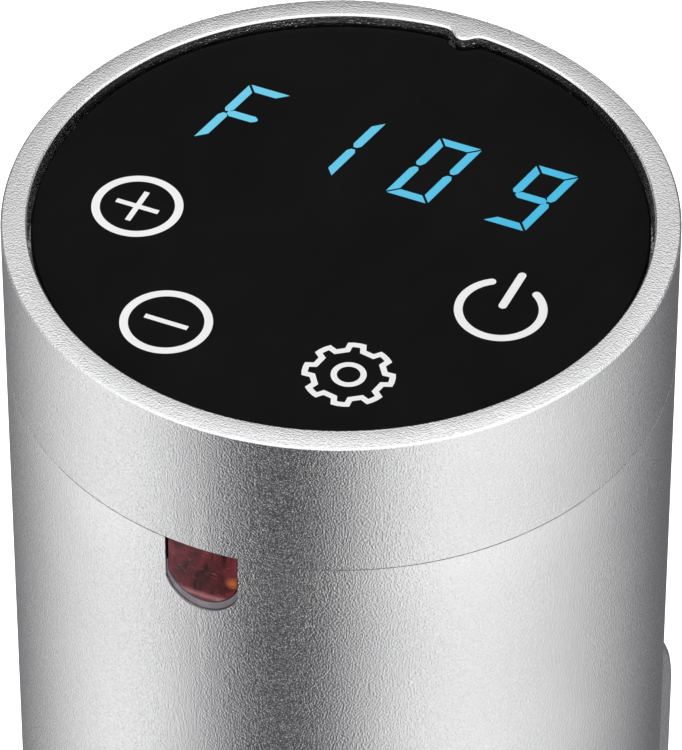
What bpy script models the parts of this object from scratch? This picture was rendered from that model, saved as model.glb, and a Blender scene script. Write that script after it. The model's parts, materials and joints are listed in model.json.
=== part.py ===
"""Sous vide circulator: a slim aluminium head with a round touch panel, a clamp on its back, and a
steel sleeve around the heater and the impeller.

Numbers are millimetres, and the helpers turn them into Blender's metres. The origin is the centre of the
foot, on the surface that the circulator stands on. +Z runs up the shaft, the display faces -Y and the
clamp is on +Y.
"""

import math

import bmesh
import bpy
from mathutils import Matrix, Vector

MM = 0.001
GAP = 0.3  # between pieces that touch on the real object

# Driving dimensions
TOP = 310.0  # rim of the collar
HEAD_RADIUS = 32.0
HEAD_WALL = 2.0
HEAD_BOTTOM = 128.0
COLLAR_HEIGHT = 15.4
SEAM = 0.12  # gap between the collar and the head tube
RIM_WIDTH = 2.5
GLASS_RECESS = 1.1
GLASS_THICKNESS = 2.0
SLEEVE_RADIUS = 26.0
SLEEVE_WALL = 0.8
SLEEVE_BOTTOM = 12.0
SLEEVE_TOP = HEAD_BOTTOM - 4.3
SHAFT_RADIUS = 2.0
SHAFT_BORE = 2.3

# Levels and radii that follow from them
HEAD_BORE = HEAD_RADIUS - HEAD_WALL
COLLAR_BOTTOM = TOP - COLLAR_HEIGHT
RIM_BORE = HEAD_RADIUS - RIM_WIDTH
GLASS_TOP = TOP - GLASS_RECESS
GLASS_BOTTOM = GLASS_TOP - GLASS_THICKNESS
GLASS_RADIUS = RIM_BORE - GAP
SLEEVE_BORE = SLEEVE_RADIUS - SLEEVE_WALL

# Collar and panel
COLLAR_BORE = 28.4
SPIGOT_RADIUS = HEAD_BORE - 0.4
SPIGOT_BOTTOM = 289.0
SHELF_BORE = 27.6
SHELF_THICKNESS = 2.0
EDGE_CHAMFER = 0.2
KEY_RADIUS = 1.7  # rounded tab at the back of the rim that keys the glass
KEY_CENTRE = 30.2
CARRIER_RADIUS = SHELF_BORE - 0.4
CARRIER_THICKNESS = 2.2
DISPLAY_SIZE = (40.0, 13.0, 6.8)
DISPLAY_Y = 11.0
BOARD_TOP = 299.2
BOARD_THICKNESS = 1.6
BOARD_RADIUS = 27.2
TOUCH_RADIUS = 3.2
TOUCH_KEYS = {
    "plus": (-18.5, -5.0),
    "minus": (-9.15, -18.75),
    "settings": (9.15, -18.75),
    "power": (18.5, -5.0),
}
CARRIER_SCREWS = ((0.0, -10.0), (0.0, 22.2))

# Status window, under the seam at the front
WINDOW_WIDTH = 7.4
WINDOW_HEIGHT = 7.7
WINDOW_ARC_RADIUS = 3.85
WINDOW_RECESS = 0.3
WINDOW_SILL = 1.0  # open lip under the window, where the wall's thickness shows
LED_LEVEL = 290.6

# Seal plate, which closes the bottom of the head
PLATE_TOP = HEAD_BOTTOM + 7.0
PLATE_FLOOR_TOP = HEAD_BOTTOM + 3.0
PLATE_BOTTOM = HEAD_BOTTOM - 3.0
PLATE_SPIGOT_RADIUS = 24.8
PLATE_SPIGOT_BORE = 22.0
PLATE_SPIGOT_BOTTOM = HEAD_BOTTOM - 16.0
HEAD_RING_LEVEL = HEAD_BOTTOM + 4.9
SLEEVE_RING_LEVEL = HEAD_BOTTOM - 10.0
SEAL_SEAT = PLATE_BOTTOM + 2.0
MOUNT_SCREW_Y = 18.5

# Heater and sensors
HEATER_TUBE = 3.2
HEATER_RADIUS = 18.5
HEATER_TOP = HEAD_BOTTOM - 55.0
HEATER_PITCH = 9.0
HEATER_TURNS = 5
HEATER_BEND = 6.0
HEATER_RETURN_RADIUS = 11.0
HEATER_SPIRAL_DEGREES = 150.0
PROBE_Y = -10.0
PROBE_BOTTOM = 30.0
ELECTRODES = {"low": (6.4, 7.7, 80.0), "high": (-6.4, 7.7, 97.0)}

# Motor
MOTOR_BOTTOM = PLATE_FLOOR_TOP + 2.6
MOTOR_HEIGHT = 36.4
MOTOR_TOP = MOTOR_BOTTOM + MOTOR_HEIGHT
MOTOR_RADIUS = 13.8
BEARING_RADIUS = 4.2
BEARING_HEIGHT = 3.0
SHAFT_BOTTOM = 9.3
SHAFT_TOP = MOTOR_TOP + 6.0

# Boards in the head
FRAME_BOTTOM = 183.0
FRAME_TOP = 283.0
GLAND_LEVEL = 250.0

# Cap and sleeve
SLOT_COUNT = 10
SLOT_WIDTH = 3.0
SLOT_LOW = 34.0
SLOT_HIGH = 80.0
LUG_COUNT = 3
LUG_LEVEL = 17.0
LUG_HALF_DEGREES = 4.4
CAP_TWIST_DEGREES = 25.0
OUTLET_COUNT = 8

# Clamp
HOOK_HALF_WIDTH = 11.9
HOOK_BACK = 64.0  # outer face of the rear leg, from the axis
HOOK_SHOULDER = 13.3
HOOK_TOP = 208.7
HOOK_BOTTOM = 131.0
HOOK_LEG = 6.0
HOOK_BRIDGE = 7.3
HOOK_PLATE = 4.0
HOOK_FACE = 28.0  # inside the head's radius, before the head's room is cut from the plate
HOOK_LEG_END = 129.5
HOOK_INNER_RADIUS = 4.0
HOOK_SCREW_LEVELS = (158.0, 197.0)
CLAMP_LEVEL = 142.0
BOSS_RADIUS = 8.5
BOSS_END = 66.5
THREAD_CLEARANCE = 0.35
JAW_PAD_HALF_WIDTH = 9.6
JAW_PAD_THICKNESS = 2.0
KNOB_FRONT = 80.3
KNOB_END = 91.3
KNOB_BORE_END = 89.0
SCREW_RADIUS = 4.0
KNOB_RADIUS = 11.5
KNOB_LOBE = 0.8
KNOB_LOBES = 8

# Edges
GLASS_CHAMFER = 0.25
TUBE_CHAMFER = 0.3
HOOK_ROUNDING = 1.6

FINISHES = {  # colour, roughness, metallic
    "aluminium": ((0.72, 0.72, 0.74), 0.36, 1.0),
    "steel": ((0.62, 0.62, 0.63), 0.22, 1.0),
    "black_glass": ((0.006, 0.006, 0.007), 0.08, 0.0),
    "red_lens": ((0.16, 0.01, 0.012), 0.12, 0.0),
    "black_plastic": ((0.02, 0.02, 0.022), 0.5, 0.0),
    "white_plastic": ((0.7, 0.7, 0.68), 0.5, 0.0),
    "rubber": ((0.03, 0.03, 0.032), 0.75, 0.0),
    "circuit_board": ((0.01, 0.12, 0.05), 0.5, 0.0),
    "brass": ((0.72, 0.5, 0.2), 0.3, 1.0),
    "magnet": ((0.12, 0.12, 0.13), 0.5, 0.6),
}

AXES = {  # where an outline's two directions and its depth go
    "X": Matrix(((0, 0, 1), (1, 0, 0), (0, 1, 0))).to_4x4(),
    "Y": Matrix(((1, 0, 0), (0, 0, -1), (0, 1, 0))).to_4x4(),
    "Z": Matrix.Identity(4),
}


def clear_scene():
    for leftover in list(bpy.data.objects):
        bpy.data.objects.remove(leftover)


def new_collection(name):
    made = bpy.data.collections.new(name)
    bpy.context.scene.collection.children.link(made)
    return made


def finish_material(name):
    found = bpy.data.materials.get(name)
    if found:
        return found
    colour, roughness, metallic = FINISHES[name]
    made = bpy.data.materials.new(name)
    made.use_nodes = True
    shader = made.node_tree.nodes["Principled BSDF"]
    shader.inputs["Base Color"].default_value = (*colour, 1.0)
    shader.inputs["Roughness"].default_value = roughness
    shader.inputs["Metallic"].default_value = metallic
    return made


# Shapes. A shape without a finish is a helper: a cutter, or an addition that a Boolean joins on.


def place(name, data, finish):
    made = bpy.data.objects.new(name, data)
    if finish:
        parts.objects.link(made)
        data.materials.append(finish_material(finish))
    else:
        helpers.objects.link(made)
        made.hide_render = True
        made.display_type = "WIRE"
    return made


def placed_mesh(name, shape, finish, smooth=True):
    """An object from a bmesh, with its sharp edges marked."""
    bmesh.ops.recalc_face_normals(shape, faces=shape.faces)
    mesh = bpy.data.meshes.new(name)
    shape.to_mesh(mesh)
    shape.free()
    if smooth:
        mesh.shade_smooth()
        mesh.set_sharp_from_angle(angle=math.radians(30))
    return place(name, mesh, finish)


def turned(name, profile, finish=None, steps=48, axis="Z", at=(0, 0, 0)):
    """A turned piece. The profile is (radius, height) pairs that run down the outer side. One that
    doesn't start on the axis is a closed ring."""
    ring = profile[0][0] > 0
    count = len(profile)
    mesh = bpy.data.meshes.new(name)
    points = [(radius * MM, 0.0, height * MM) for radius, height in profile]
    edges = [(i, (i + 1) % count) for i in range(count if ring else count - 1)]
    mesh.from_pydata(points, edges, [])
    made = place(name, mesh, finish)
    screw = made.modifiers.new("Turn", "SCREW")
    screw.steps = steps
    screw.render_steps = steps
    screw.use_merge_vertices = True
    screw.merge_threshold = 0.00001
    made.location = Vector(at) * MM
    if axis == "Y":
        made.rotation_euler = (-math.pi / 2, 0, 0)
    return made


def washer(name, outer, inner, low, high, finish=None, steps=32, axis="Z", at=(0, 0, 0)):
    profile = ((outer, high), (outer, low), (inner, low), (inner, high))
    return turned(name, profile, finish, steps, axis, at)


def hex_nut(name, radius, bore, low, high, finish, axis="Z", at=(0, 0, 0)):
    nut = turned(name, ((0, high), (radius, high), (radius, low), (0, low)), finish, 6, axis, at)
    hole = ((0, high + 1), (bore, high + 1), (bore, low - 1), (0, low - 1))
    return cut(nut, turned(name + "_bore", hole, None, 20, axis, at))


def rods(name, radius, ends, finish=None, segments=16):
    """Straight round bars, one for each (start, end) pair."""
    shape = bmesh.new()
    for start, end in ends:
        line = (Vector(end) - Vector(start)) * MM
        middle = (Vector(start) + Vector(end)) * MM / 2
        matrix = Matrix.Translation(middle) @ line.to_track_quat("Z", "Y").to_matrix().to_4x4()
        bmesh.ops.create_cone(
            shape,
            cap_ends=True,
            segments=segments,
            radius1=radius * MM,
            radius2=radius * MM,
            depth=line.length,
            matrix=matrix,
        )
    return placed_mesh(name, shape, finish)


def rod(name, radius, start, end, finish=None, segments=16):
    return rods(name, radius, [(start, end)], finish, segments)


def blocks(name, boxes, finish=None):
    """Boxes, one for each (low corner, high corner) pair."""
    shape = bmesh.new()
    for low, high in boxes:
        size = (Vector(high) - Vector(low)) * MM
        middle = (Vector(low) + Vector(high)) * MM / 2
        matrix = Matrix.Translation(middle) @ Matrix.Diagonal((*size, 1.0))
        bmesh.ops.create_cube(shape, size=1.0, matrix=matrix)
    return placed_mesh(name, shape, finish, smooth=False)


def block(name, low, high, finish=None):
    return blocks(name, [(low, high)], finish)


def prisms(name, outlines, low, high, axis="Z", finish=None):
    """Flat outlines given a thickness along an axis. Outlines are in (X, Y), (X, Z) or (Y, Z)."""
    curve = bpy.data.curves.new(name, "CURVE")
    curve.dimensions = "2D"
    curve.fill_mode = "BOTH"
    curve.extrude = (high - low) / 2 * MM
    for outline in outlines:
        spline = curve.splines.new("POLY")
        spline.points.add(len(outline) - 1)
        spline.use_cyclic_u = True
        for point, (u, v) in zip(spline.points, outline):
            point.co = (u * MM, v * MM, 0.0, 1.0)
    offset = Vector((axis == "X", axis == "Y", axis == "Z")) * (low + high) / 2 * MM
    return meshed(name, curve, Matrix.Translation(offset) @ AXES[axis], finish)


def prism(name, outline, low, high, axis="Z", finish=None):
    return prisms(name, [outline], low, high, axis, finish)


def meshed(name, curve, matrix, finish):
    """A curve made a closed mesh, so that it can be cut, joined or bevelled."""
    guide = bpy.data.objects.new(name + "_curve", curve)
    bpy.context.scene.collection.objects.link(guide)
    guide.matrix_world = matrix
    bpy.context.view_layer.update()
    graph = bpy.context.evaluated_depsgraph_get()
    shape = bmesh.new()
    shape.from_mesh(bpy.data.meshes.new_from_object(guide.evaluated_get(graph)))
    shape.transform(matrix)
    bmesh.ops.remove_doubles(shape, verts=shape.verts, dist=0.001 * MM)
    bpy.data.objects.remove(guide)
    return placed_mesh(name, shape, finish)


def tube_along(name, radius, path, finish):
    curve = bpy.data.curves.new(name, "CURVE")
    curve.dimensions = "3D"
    curve.bevel_depth = radius * MM
    curve.bevel_resolution = 2
    curve.use_fill_caps = True
    spline = curve.splines.new("POLY")
    spline.points.add(len(path) - 1)
    for point, place_on_path in zip(spline.points, path):
        point.co = (*(Vector(place_on_path) * MM), 1.0)
    return place(name, curve, finish)


def around(made, count):
    """Repeats an object's mesh around the shaft, inside the same mesh."""
    shape = bmesh.new()
    shape.from_mesh(made.data)
    bmesh.ops.spin(
        shape,
        geom=shape.verts[:] + shape.edges[:] + shape.faces[:],
        cent=(0, 0, 0),
        axis=(0, 0, 1),
        angle=math.tau * (count - 1) / count,
        steps=count - 1,
        use_duplicate=True,
    )
    shape.to_mesh(made.data)
    shape.free()
    return made


def combine(target, operation, *tools):
    for tool in tools:
        modifier = target.modifiers.new(tool.name, "BOOLEAN")
        modifier.operation = operation
        modifier.object = tool
    return target


def cut(target, *tools):
    return combine(target, "DIFFERENCE", *tools)


def join(target, *tools):
    return combine(target, "UNION", *tools)


def keep_inside(target, tool):
    return combine(target, "INTERSECT", tool)


def round_edges(made, width, segments=2, angle=40):
    bevel = made.modifiers.new("Rounded edges", "BEVEL")
    bevel.width = width * MM
    bevel.segments = segments
    bevel.limit_method = "ANGLE"
    bevel.angle_limit = math.radians(angle)
    return made


# Outlines


def arc(centre, radius, start, end, count):
    """Points on an arc, with its angles in degrees."""
    angles = [math.radians(start + (end - start) * i / count) for i in range(count + 1)]
    return [(centre[0] + radius * math.cos(a), centre[1] + radius * math.sin(a)) for a in angles]


def sector(inner, outer, start, end, count):
    return arc((0, 0), outer, start, end, count) + arc((0, 0), inner, end, start, count)


def stadium(u, low, high, width, count=4):
    half = width / 2
    return arc((u, high - half), half, 0, 180, count) + arc((u, low + half), half, 180, 360, count)


def window_outline(width, top, bottom, radius):
    """Flat at the top, with straight sides and an arc across the bottom."""
    half_angle = math.degrees(math.asin(width / 2 / radius))
    bottom_arc = arc((0, bottom + radius), radius, 270 - half_angle, 270 + half_angle, 10)
    return [(-width / 2, top)] + bottom_arc + [(width / 2, top)]


def heater_path():
    """Down one leg, round the coil, in to a smaller radius, and up the return leg inside the coil."""
    entry_bend = math.degrees(HEATER_BEND / HEATER_RADIUS)
    exit_bend = math.degrees(HEATER_BEND / HEATER_RETURN_RADIUS)
    coil = 360.0 * HEATER_TURNS + 180.0 - HEATER_SPIRAL_DEGREES - entry_bend - exit_bend - 360.0
    coil_bottom = HEATER_TOP - HEATER_PITCH * coil / 360
    path = [(HEATER_RADIUS, 0.0, PLATE_FLOOR_TOP)]

    def add(radius, degrees, height):
        angle = math.radians(degrees)
        path.append((radius * math.cos(angle), radius * math.sin(angle), height))

    bend_steps = 4
    for i in range(bend_steps):
        turn = math.pi / 2 * i / bend_steps
        add(HEATER_RADIUS, entry_bend * (1 - math.cos(turn)), HEATER_TOP + HEATER_BEND * (1 - math.sin(turn)))
    coil_steps = round(coil / 30)
    for i in range(coil_steps):
        turned_by = coil * i / coil_steps
        add(HEATER_RADIUS, entry_bend + turned_by, HEATER_TOP - HEATER_PITCH * turned_by / 360)
    spiral_steps = 6
    spiral_drop = HEATER_PITCH * HEATER_SPIRAL_DEGREES / 360
    for i in range(spiral_steps):
        part = i / spiral_steps
        ease = part * part * (3 - 2 * part)
        radius = HEATER_RADIUS + (HEATER_RETURN_RADIUS - HEATER_RADIUS) * ease
        level = coil_bottom - spiral_drop * (part - part * part / 2)
        add(radius, entry_bend + coil + HEATER_SPIRAL_DEGREES * part, level)
    lowest = coil_bottom - spiral_drop / 2
    for i in range(bend_steps + 1):
        turn = math.pi / 2 * i / bend_steps
        degrees = 180.0 - exit_bend * (1 - math.sin(turn))
        add(HEATER_RETURN_RADIUS, degrees, lowest + HEATER_BEND * (1 - math.cos(turn)))
    path.append((-HEATER_RETURN_RADIUS, 0.0, PLATE_FLOOR_TOP))
    return path


# Top of the head


def top_collar():
    seat = GLASS_BOTTOM - GAP
    bottom = COLLAR_BOTTOM + SEAM / 2
    profile = (
        (HEAD_RADIUS - EDGE_CHAMFER, TOP),
        (HEAD_RADIUS, TOP - EDGE_CHAMFER),
        (HEAD_RADIUS, bottom),
        (SPIGOT_RADIUS, bottom),
        (SPIGOT_RADIUS, SPIGOT_BOTTOM),
        (COLLAR_BORE, SPIGOT_BOTTOM),
        (COLLAR_BORE, seat - SHELF_THICKNESS - 1.0),
        (SHELF_BORE, seat - SHELF_THICKNESS),
        (SHELF_BORE, seat),
        (RIM_BORE, seat),
        (RIM_BORE, TOP - EDGE_CHAMFER),
        (RIM_BORE + EDGE_CHAMFER, TOP),
    )
    collar = turned("top_collar", profile, "aluminium", steps=48)
    key = rod("key_tab", KEY_RADIUS, (0, KEY_CENTRE, seat - 1.0), (0, KEY_CENTRE, TOP - 0.05), segments=20)
    window_room = block("window_room", (-5.6, -31.0, SPIGOT_BOTTOM - 1), (5.6, -26.0, bottom + 0.3))
    return cut(join(collar, key), window_room)


def glass_panel():
    chamfer = GLASS_CHAMFER
    profile = (
        (0, GLASS_TOP),
        (GLASS_RADIUS - chamfer, GLASS_TOP),
        (GLASS_RADIUS, GLASS_TOP - chamfer),
        (GLASS_RADIUS, GLASS_BOTTOM),
        (0, GLASS_BOTTOM),
    )
    glass = turned("glass_panel", profile, "black_glass", steps=48)
    low, high = (0, KEY_CENTRE, GLASS_BOTTOM - 2), (0, KEY_CENTRE, GLASS_TOP + 2)
    return cut(glass, rod("key_notch", KEY_RADIUS + GAP, low, high, segments=20))


def panel_carrier():
    top = GLASS_BOTTOM - GAP
    bottom = top - CARRIER_THICKNESS
    profile = ((0, top), (CARRIER_RADIUS, top), (CARRIER_RADIUS, bottom), (0, bottom))
    carrier = turned("panel_carrier", profile, "black_plastic", steps=32)
    foot = BOARD_TOP + GAP
    posts = [((x, y, foot), (x, y, top - 1)) for x, y in CARRIER_SCREWS]
    bores = [((x, y, foot - 1), (x, y, top - 0.6)) for x, y in CARRIER_SCREWS]
    pillars = rods("screw_pillars", 2.8, posts, segments=12)
    pilots = rods("screw_pilots", 1.3, bores, segments=8)
    keys = [((x, y, bottom - 2), (x, y, top + 2)) for x, y in TOUCH_KEYS.values()]
    half_x, half_y = DISPLAY_SIZE[0] / 2 + GAP, DISPLAY_SIZE[1] / 2 + GAP
    opening = block(
        "display_opening",
        (-half_x, DISPLAY_Y - half_y, bottom - 2),
        (half_x, DISPLAY_Y + half_y, top + 2),
    )
    return cut(join(carrier, pillars), pilots, opening, rods("key_holes", TOUCH_RADIUS + GAP, keys))


def display_module():
    half_x, half_y = DISPLAY_SIZE[0] / 2, DISPLAY_SIZE[1] / 2
    low = (-half_x, DISPLAY_Y - half_y, GLASS_BOTTOM - GAP - DISPLAY_SIZE[2])
    high = (half_x, DISPLAY_Y + half_y, GLASS_BOTTOM - GAP)
    return block("display_module", low, high, "white_plastic")


def touch_contacts():
    low, high = BOARD_TOP + GAP, GLASS_BOTTOM - GAP
    for key, (x, y) in TOUCH_KEYS.items():
        rod(f"touch_contact_{key}", TOUCH_RADIUS, (x, y, low), (x, y, high), "rubber", segments=12)


def control_board():
    bottom = BOARD_TOP - BOARD_THICKNESS
    profile = ((0, BOARD_TOP), (BOARD_RADIUS, BOARD_TOP), (BOARD_RADIUS, bottom), (0, bottom))
    board = turned("control_board", profile, "circuit_board", steps=32)
    holes = [((x, y, bottom - 2), (x, y, BOARD_TOP + 2)) for x, y in CARRIER_SCREWS]
    return cut(board, rods("board_holes", 1.5, holes, segments=10))


def board_screws():
    """Pan-head screws up through the control board into the carrier."""
    head_top = BOARD_TOP - BOARD_THICKNESS - GAP
    tip = GLASS_BOTTOM - 1.6
    profile = (
        (0, tip),
        (0.95, tip),
        (0.95, head_top),
        (2.3, head_top),
        (2.3, head_top - 1.4),
        (0, head_top - 1.8),
    )
    for number, (x, y) in enumerate(CARRIER_SCREWS, start=1):
        turned(f"board_screw_{number}", profile, "steel", steps=10, at=(x, y, 0))


def buzzer():
    top = BOARD_TOP - BOARD_THICKNESS - GAP
    washer("buzzer", 6.0, 1.0, top - 4.0, top, "black_plastic", steps=20, at=(-13.0, 8.0, 0))


def status_window():
    """A clear red plug in the wall's notch, with a flange behind the wall."""
    face = HEAD_RADIUS - WINDOW_RECESS
    top = COLLAR_BOTTOM - 0.2
    back = SPIGOT_RADIUS - 1.4
    flange = prism("window_flange", [(-5.2, 285.6), (5.2, 285.6), (5.2, top), (-5.2, top)], -40, -20, "Y")
    keep_inside(flange, washer("flange_room", HEAD_BORE - GAP, back, 280, 300, steps=96))
    outline = window_outline(
        WINDOW_WIDTH - 2 * 0.2, top, COLLAR_BOTTOM - WINDOW_HEIGHT + WINDOW_SILL, WINDOW_ARC_RADIUS - 0.2
    )
    window = prism("status_window", outline, -40, -20, "Y", "red_lens")
    keep_inside(window, washer("plug_room", face, back + 0.2, 280, 300, steps=96))
    return join(window, flange)


def status_led():
    tip = 27.6
    base = 21.6
    bend = [math.radians(degrees) for degrees in (67, 45, 22, 0)]
    dome = [(1.5 * math.cos(a), tip - 1.5 + 1.5 * math.sin(a)) for a in bend]
    profile = [(0, tip), *dome, (1.5, base + 1), (1.9, base + 1), (1.9, base), (0, base)]
    led = turned("status_led", profile, "white_plastic", steps=12)
    led.rotation_euler = (math.pi / 2, 0, 0)
    led.location = (0, 0, LED_LEVEL * MM)
    block("led_board", (-5.0, -21.3, 284.0), (5.0, -19.9, BOARD_TOP - BOARD_THICKNESS - GAP), "circuit_board")


# Head


def head_tube():
    top = COLLAR_BOTTOM - SEAM / 2
    chamfer = TUBE_CHAMFER
    profile = (
        (HEAD_BORE, top),
        (HEAD_RADIUS, top),
        (HEAD_RADIUS, HEAD_BOTTOM + chamfer),
        (HEAD_RADIUS - chamfer, HEAD_BOTTOM),
        (HEAD_BORE, HEAD_BOTTOM),
    )
    tube = turned("head_tube", profile, "aluminium", steps=48)
    outline = window_outline(WINDOW_WIDTH, top + 5, COLLAR_BOTTOM - WINDOW_HEIGHT, WINDOW_ARC_RADIUS)
    window = prism("window_notch", outline, -36, -26, "Y")
    screws = rods("hook_screw_holes", 1.9, [((0, 26, z), (0, 36, z)) for z in HOOK_SCREW_LEVELS], segments=12)
    gland = rod("gland_hole", 5.3, (0, 26, GLAND_LEVEL), (0, 36, GLAND_LEVEL), segments=20)
    return cut(tube, window, screws, gland)


def inner_frame():
    """Two rings on two grooved rails, which run from the seal plate's rim to the collar and hold the power
    board."""
    outside = HEAD_BORE - 0.6
    ring = washer("inner_frame", outside, 24.5, FRAME_BOTTOM, FRAME_BOTTOM + 3, "white_plastic", steps=32)
    upper = washer("frame_upper_ring", HEAD_BORE - 0.6, 24.5, FRAME_TOP - 3, FRAME_TOP, steps=32)
    low, high = PLATE_TOP + GAP, SPIGOT_BOTTOM - GAP
    rails = blocks("frame_rails", [((x - 3.2, -3.5, low), (x + 3.2, 5.0, high)) for x in (-25.6, 25.6)])
    groove = block("frame_groove", (-24.3, -GAP, FRAME_BOTTOM + 4.7), (24.3, 1.6 + GAP, FRAME_TOP - 4.7))
    return cut(join(ring, rails, upper), groove)


def power_board():
    block("power_board", (-24.0, 0.0, FRAME_BOTTOM + 5), (24.0, 1.6, FRAME_TOP - 5), "circuit_board")
    block("relay", (-18.0, -10.3, 196.0), (-3.0, -GAP, 216.0), "black_plastic")
    block("mains_capacitor", (2.0, -8.3, 196.0), (20.0, -GAP, 212.0), "white_plastic")
    rod("smoothing_capacitor", 5.0, (-12.0, -5.4, 222.0), (-12.0, -5.4, 242.0), "black_plastic", segments=16)
    choke_profile = [(6.5 + u, v) for u, v in arc((0, 0), 2.5, 90, -225, 7)]
    turned("choke", choke_profile, "brass", steps=20, axis="Y", at=(10.0, -2.9, 229.0))
    block("triac", (-5.0, 1.6 + GAP, 232.0), (5.0, 5.9, 246.0), "black_plastic")


def heat_sink():
    base = block("heat_sink", (-14.0, 6.2, 222.0), (14.0, 8.4, 256.0), "aluminium")
    fins = [((x - 0.7, 8.0, 222.5), (x + 0.7, 19.0, 255.5)) for x in (-12, -6, 0, 6, 12)]
    return join(base, blocks("heat_sink_fins", fins))


def cord_gland():
    """A flanged bush in the back wall, clamped by a nut inside. Its bore is for the mains cord."""
    outside = HEAD_RADIUS + GAP
    profile = (
        (3.5, outside + 2.4),
        (7.0, outside + 2.4),
        (8.0, outside + 1.2),
        (8.0, outside),
        (5.0, outside),
        (5.0, 24.6),
        (3.5, 24.6),
    )
    turned("cord_gland", profile, "black_plastic", steps=24, axis="Y", at=(0, 0, GLAND_LEVEL))
    hex_nut("gland_nut", 7.5, 5.3, 25.6, 28.4, "black_plastic", axis="Y", at=(0, 0, GLAND_LEVEL))


def seal_plate():
    head_groove, sleeve_groove = 27.4, 23.2
    profile = (
        (SPIGOT_RADIUS, PLATE_TOP),
        (SPIGOT_RADIUS, HEAD_RING_LEVEL + 1.1),
        (head_groove, HEAD_RING_LEVEL + 1.1),
        (head_groove, HEAD_RING_LEVEL - 1.1),
        (SPIGOT_RADIUS, HEAD_RING_LEVEL - 1.1),
        (SPIGOT_RADIUS, PLATE_BOTTOM),
        (PLATE_SPIGOT_RADIUS, PLATE_BOTTOM),
        (PLATE_SPIGOT_RADIUS, SLEEVE_RING_LEVEL + 1.0),
        (sleeve_groove, SLEEVE_RING_LEVEL + 1.0),
        (sleeve_groove, SLEEVE_RING_LEVEL - 1.0),
        (PLATE_SPIGOT_RADIUS, SLEEVE_RING_LEVEL - 1.0),
        (PLATE_SPIGOT_RADIUS, PLATE_SPIGOT_BOTTOM),
        (PLATE_SPIGOT_BORE, PLATE_SPIGOT_BOTTOM),
        (PLATE_SPIGOT_BORE, PLATE_BOTTOM),
        (2.6, PLATE_BOTTOM),
        (2.6, SEAL_SEAT),
        (6.0, SEAL_SEAT),
        (6.0, PLATE_FLOOR_TOP),
        (26.0, PLATE_FLOOR_TOP),
        (26.0, PLATE_TOP),
    )
    plate = turned("seal_plate", profile, "black_plastic", steps=32)
    low, high = PLATE_BOTTOM - 2, PLATE_FLOOR_TOP + 2
    legs = [((x, 0, low), (x, 0, high)) for x in (HEATER_RADIUS, -HEATER_RETURN_RADIUS)]
    sensors = [(0.0, PROBE_Y)] + [(x, y) for x, y, _ in ELECTRODES.values()]
    sensor_holes = [((x, y, low), (x, y, high)) for x, y in sensors]
    screw_holes = [((0, y, PLATE_BOTTOM + 2.5), (0, y, high)) for y in (-MOUNT_SCREW_Y, MOUNT_SCREW_Y)]
    return cut(
        plate,
        rods("heater_holes", HEATER_TUBE + GAP, legs),
        rods("sensor_holes", 2.0, sensor_holes, segments=10),
        rods("mount_screw_holes", 1.5, screw_holes, segments=10),
    )


def seals():
    rings = (
        ("head_seal_ring", 28.5, 0.8, HEAD_RING_LEVEL),
        ("sleeve_seal_ring", 24.2, 0.75, SLEEVE_RING_LEVEL),
    )
    for name, radius, thickness, level in rings:
        section = arc((radius, level), thickness, 90, -180, 3)
        turned(name, section, "rubber", steps=32)
    washer("shaft_seal", 5.7, SHAFT_BORE, SEAL_SEAT + GAP, PLATE_FLOOR_TOP - GAP, "rubber", steps=24)


def base_ring():
    """The plastic ring that leads from the head's width to the sleeve's."""
    top = HEAD_BOTTOM - GAP
    bend = [math.radians(30 * i) for i in range(4)]
    bottom = top - 8.7
    inside = PLATE_BOTTOM - 0.5
    curve = [(28.2 + 3.5 * math.cos(a), bottom + 6.0 - 6.0 * math.sin(a)) for a in bend]
    profile = [(29.9, top), (31.7, top), *curve, (26.4, bottom), (26.4, inside), (29.9, inside)]
    return turned("base_ring", profile, "black_plastic", steps=40)


# Motor and pump


def motor():
    end_cap_top = MOTOR_TOP + BEARING_HEIGHT
    bearing_bore = BEARING_RADIUS + GAP
    end_cap = MOTOR_RADIUS - 0.3
    washer("motor_end_cap", end_cap, bearing_bore, MOTOR_TOP + GAP, end_cap_top, "black_plastic", steps=28)
    profile = (
        (MOTOR_RADIUS, MOTOR_TOP),
        (MOTOR_RADIUS, MOTOR_BOTTOM),
        (bearing_bore, MOTOR_BOTTOM),
        (bearing_bore, MOTOR_BOTTOM + 1.4),
        (MOTOR_RADIUS - 1.1, MOTOR_BOTTOM + 1.4),
        (MOTOR_RADIUS - 1.1, MOTOR_TOP),
    )
    turned("motor_can", profile, "steel", steps=28)
    washer("motor_magnet", 12.4, 11.1, MOTOR_BOTTOM + 7.4, MOTOR_TOP - 6.0, "magnet", steps=24)
    for name, low in (("lower", MOTOR_BOTTOM), ("upper", MOTOR_TOP)):
        high = low + BEARING_HEIGHT
        washer(f"motor_bearing_{name}", BEARING_RADIUS, SHAFT_BORE, low, high, "brass", steps=20)


def motor_mount():
    low, high = PLATE_FLOOR_TOP + GAP, MOTOR_BOTTOM - GAP
    mount = block("motor_mount", (-12.0, -22.0, low), (12.0, 22.0, high), "steel")
    ends = [((0, y, low - 1), (0, y, high + 1)) for y in (-MOUNT_SCREW_Y, MOUNT_SCREW_Y)]
    centre = rod("mount_bore", 5.0, (0, 0, low - 1), (0, 0, high + 1))
    head = high + GAP
    tip = PLATE_BOTTOM + 3.0
    profile = ((0, head + 1.8), (2.4, head + 1.4), (2.4, head), (1.2, head), (1.2, tip), (0, tip))
    for number, y in enumerate((-MOUNT_SCREW_Y, MOUNT_SCREW_Y), start=1):
        turned(f"motor_screw_{number}", profile, "steel", steps=10, at=(0, y, 0))
    return cut(mount, centre, rods("mount_holes", 1.5, ends, segments=10))


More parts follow.
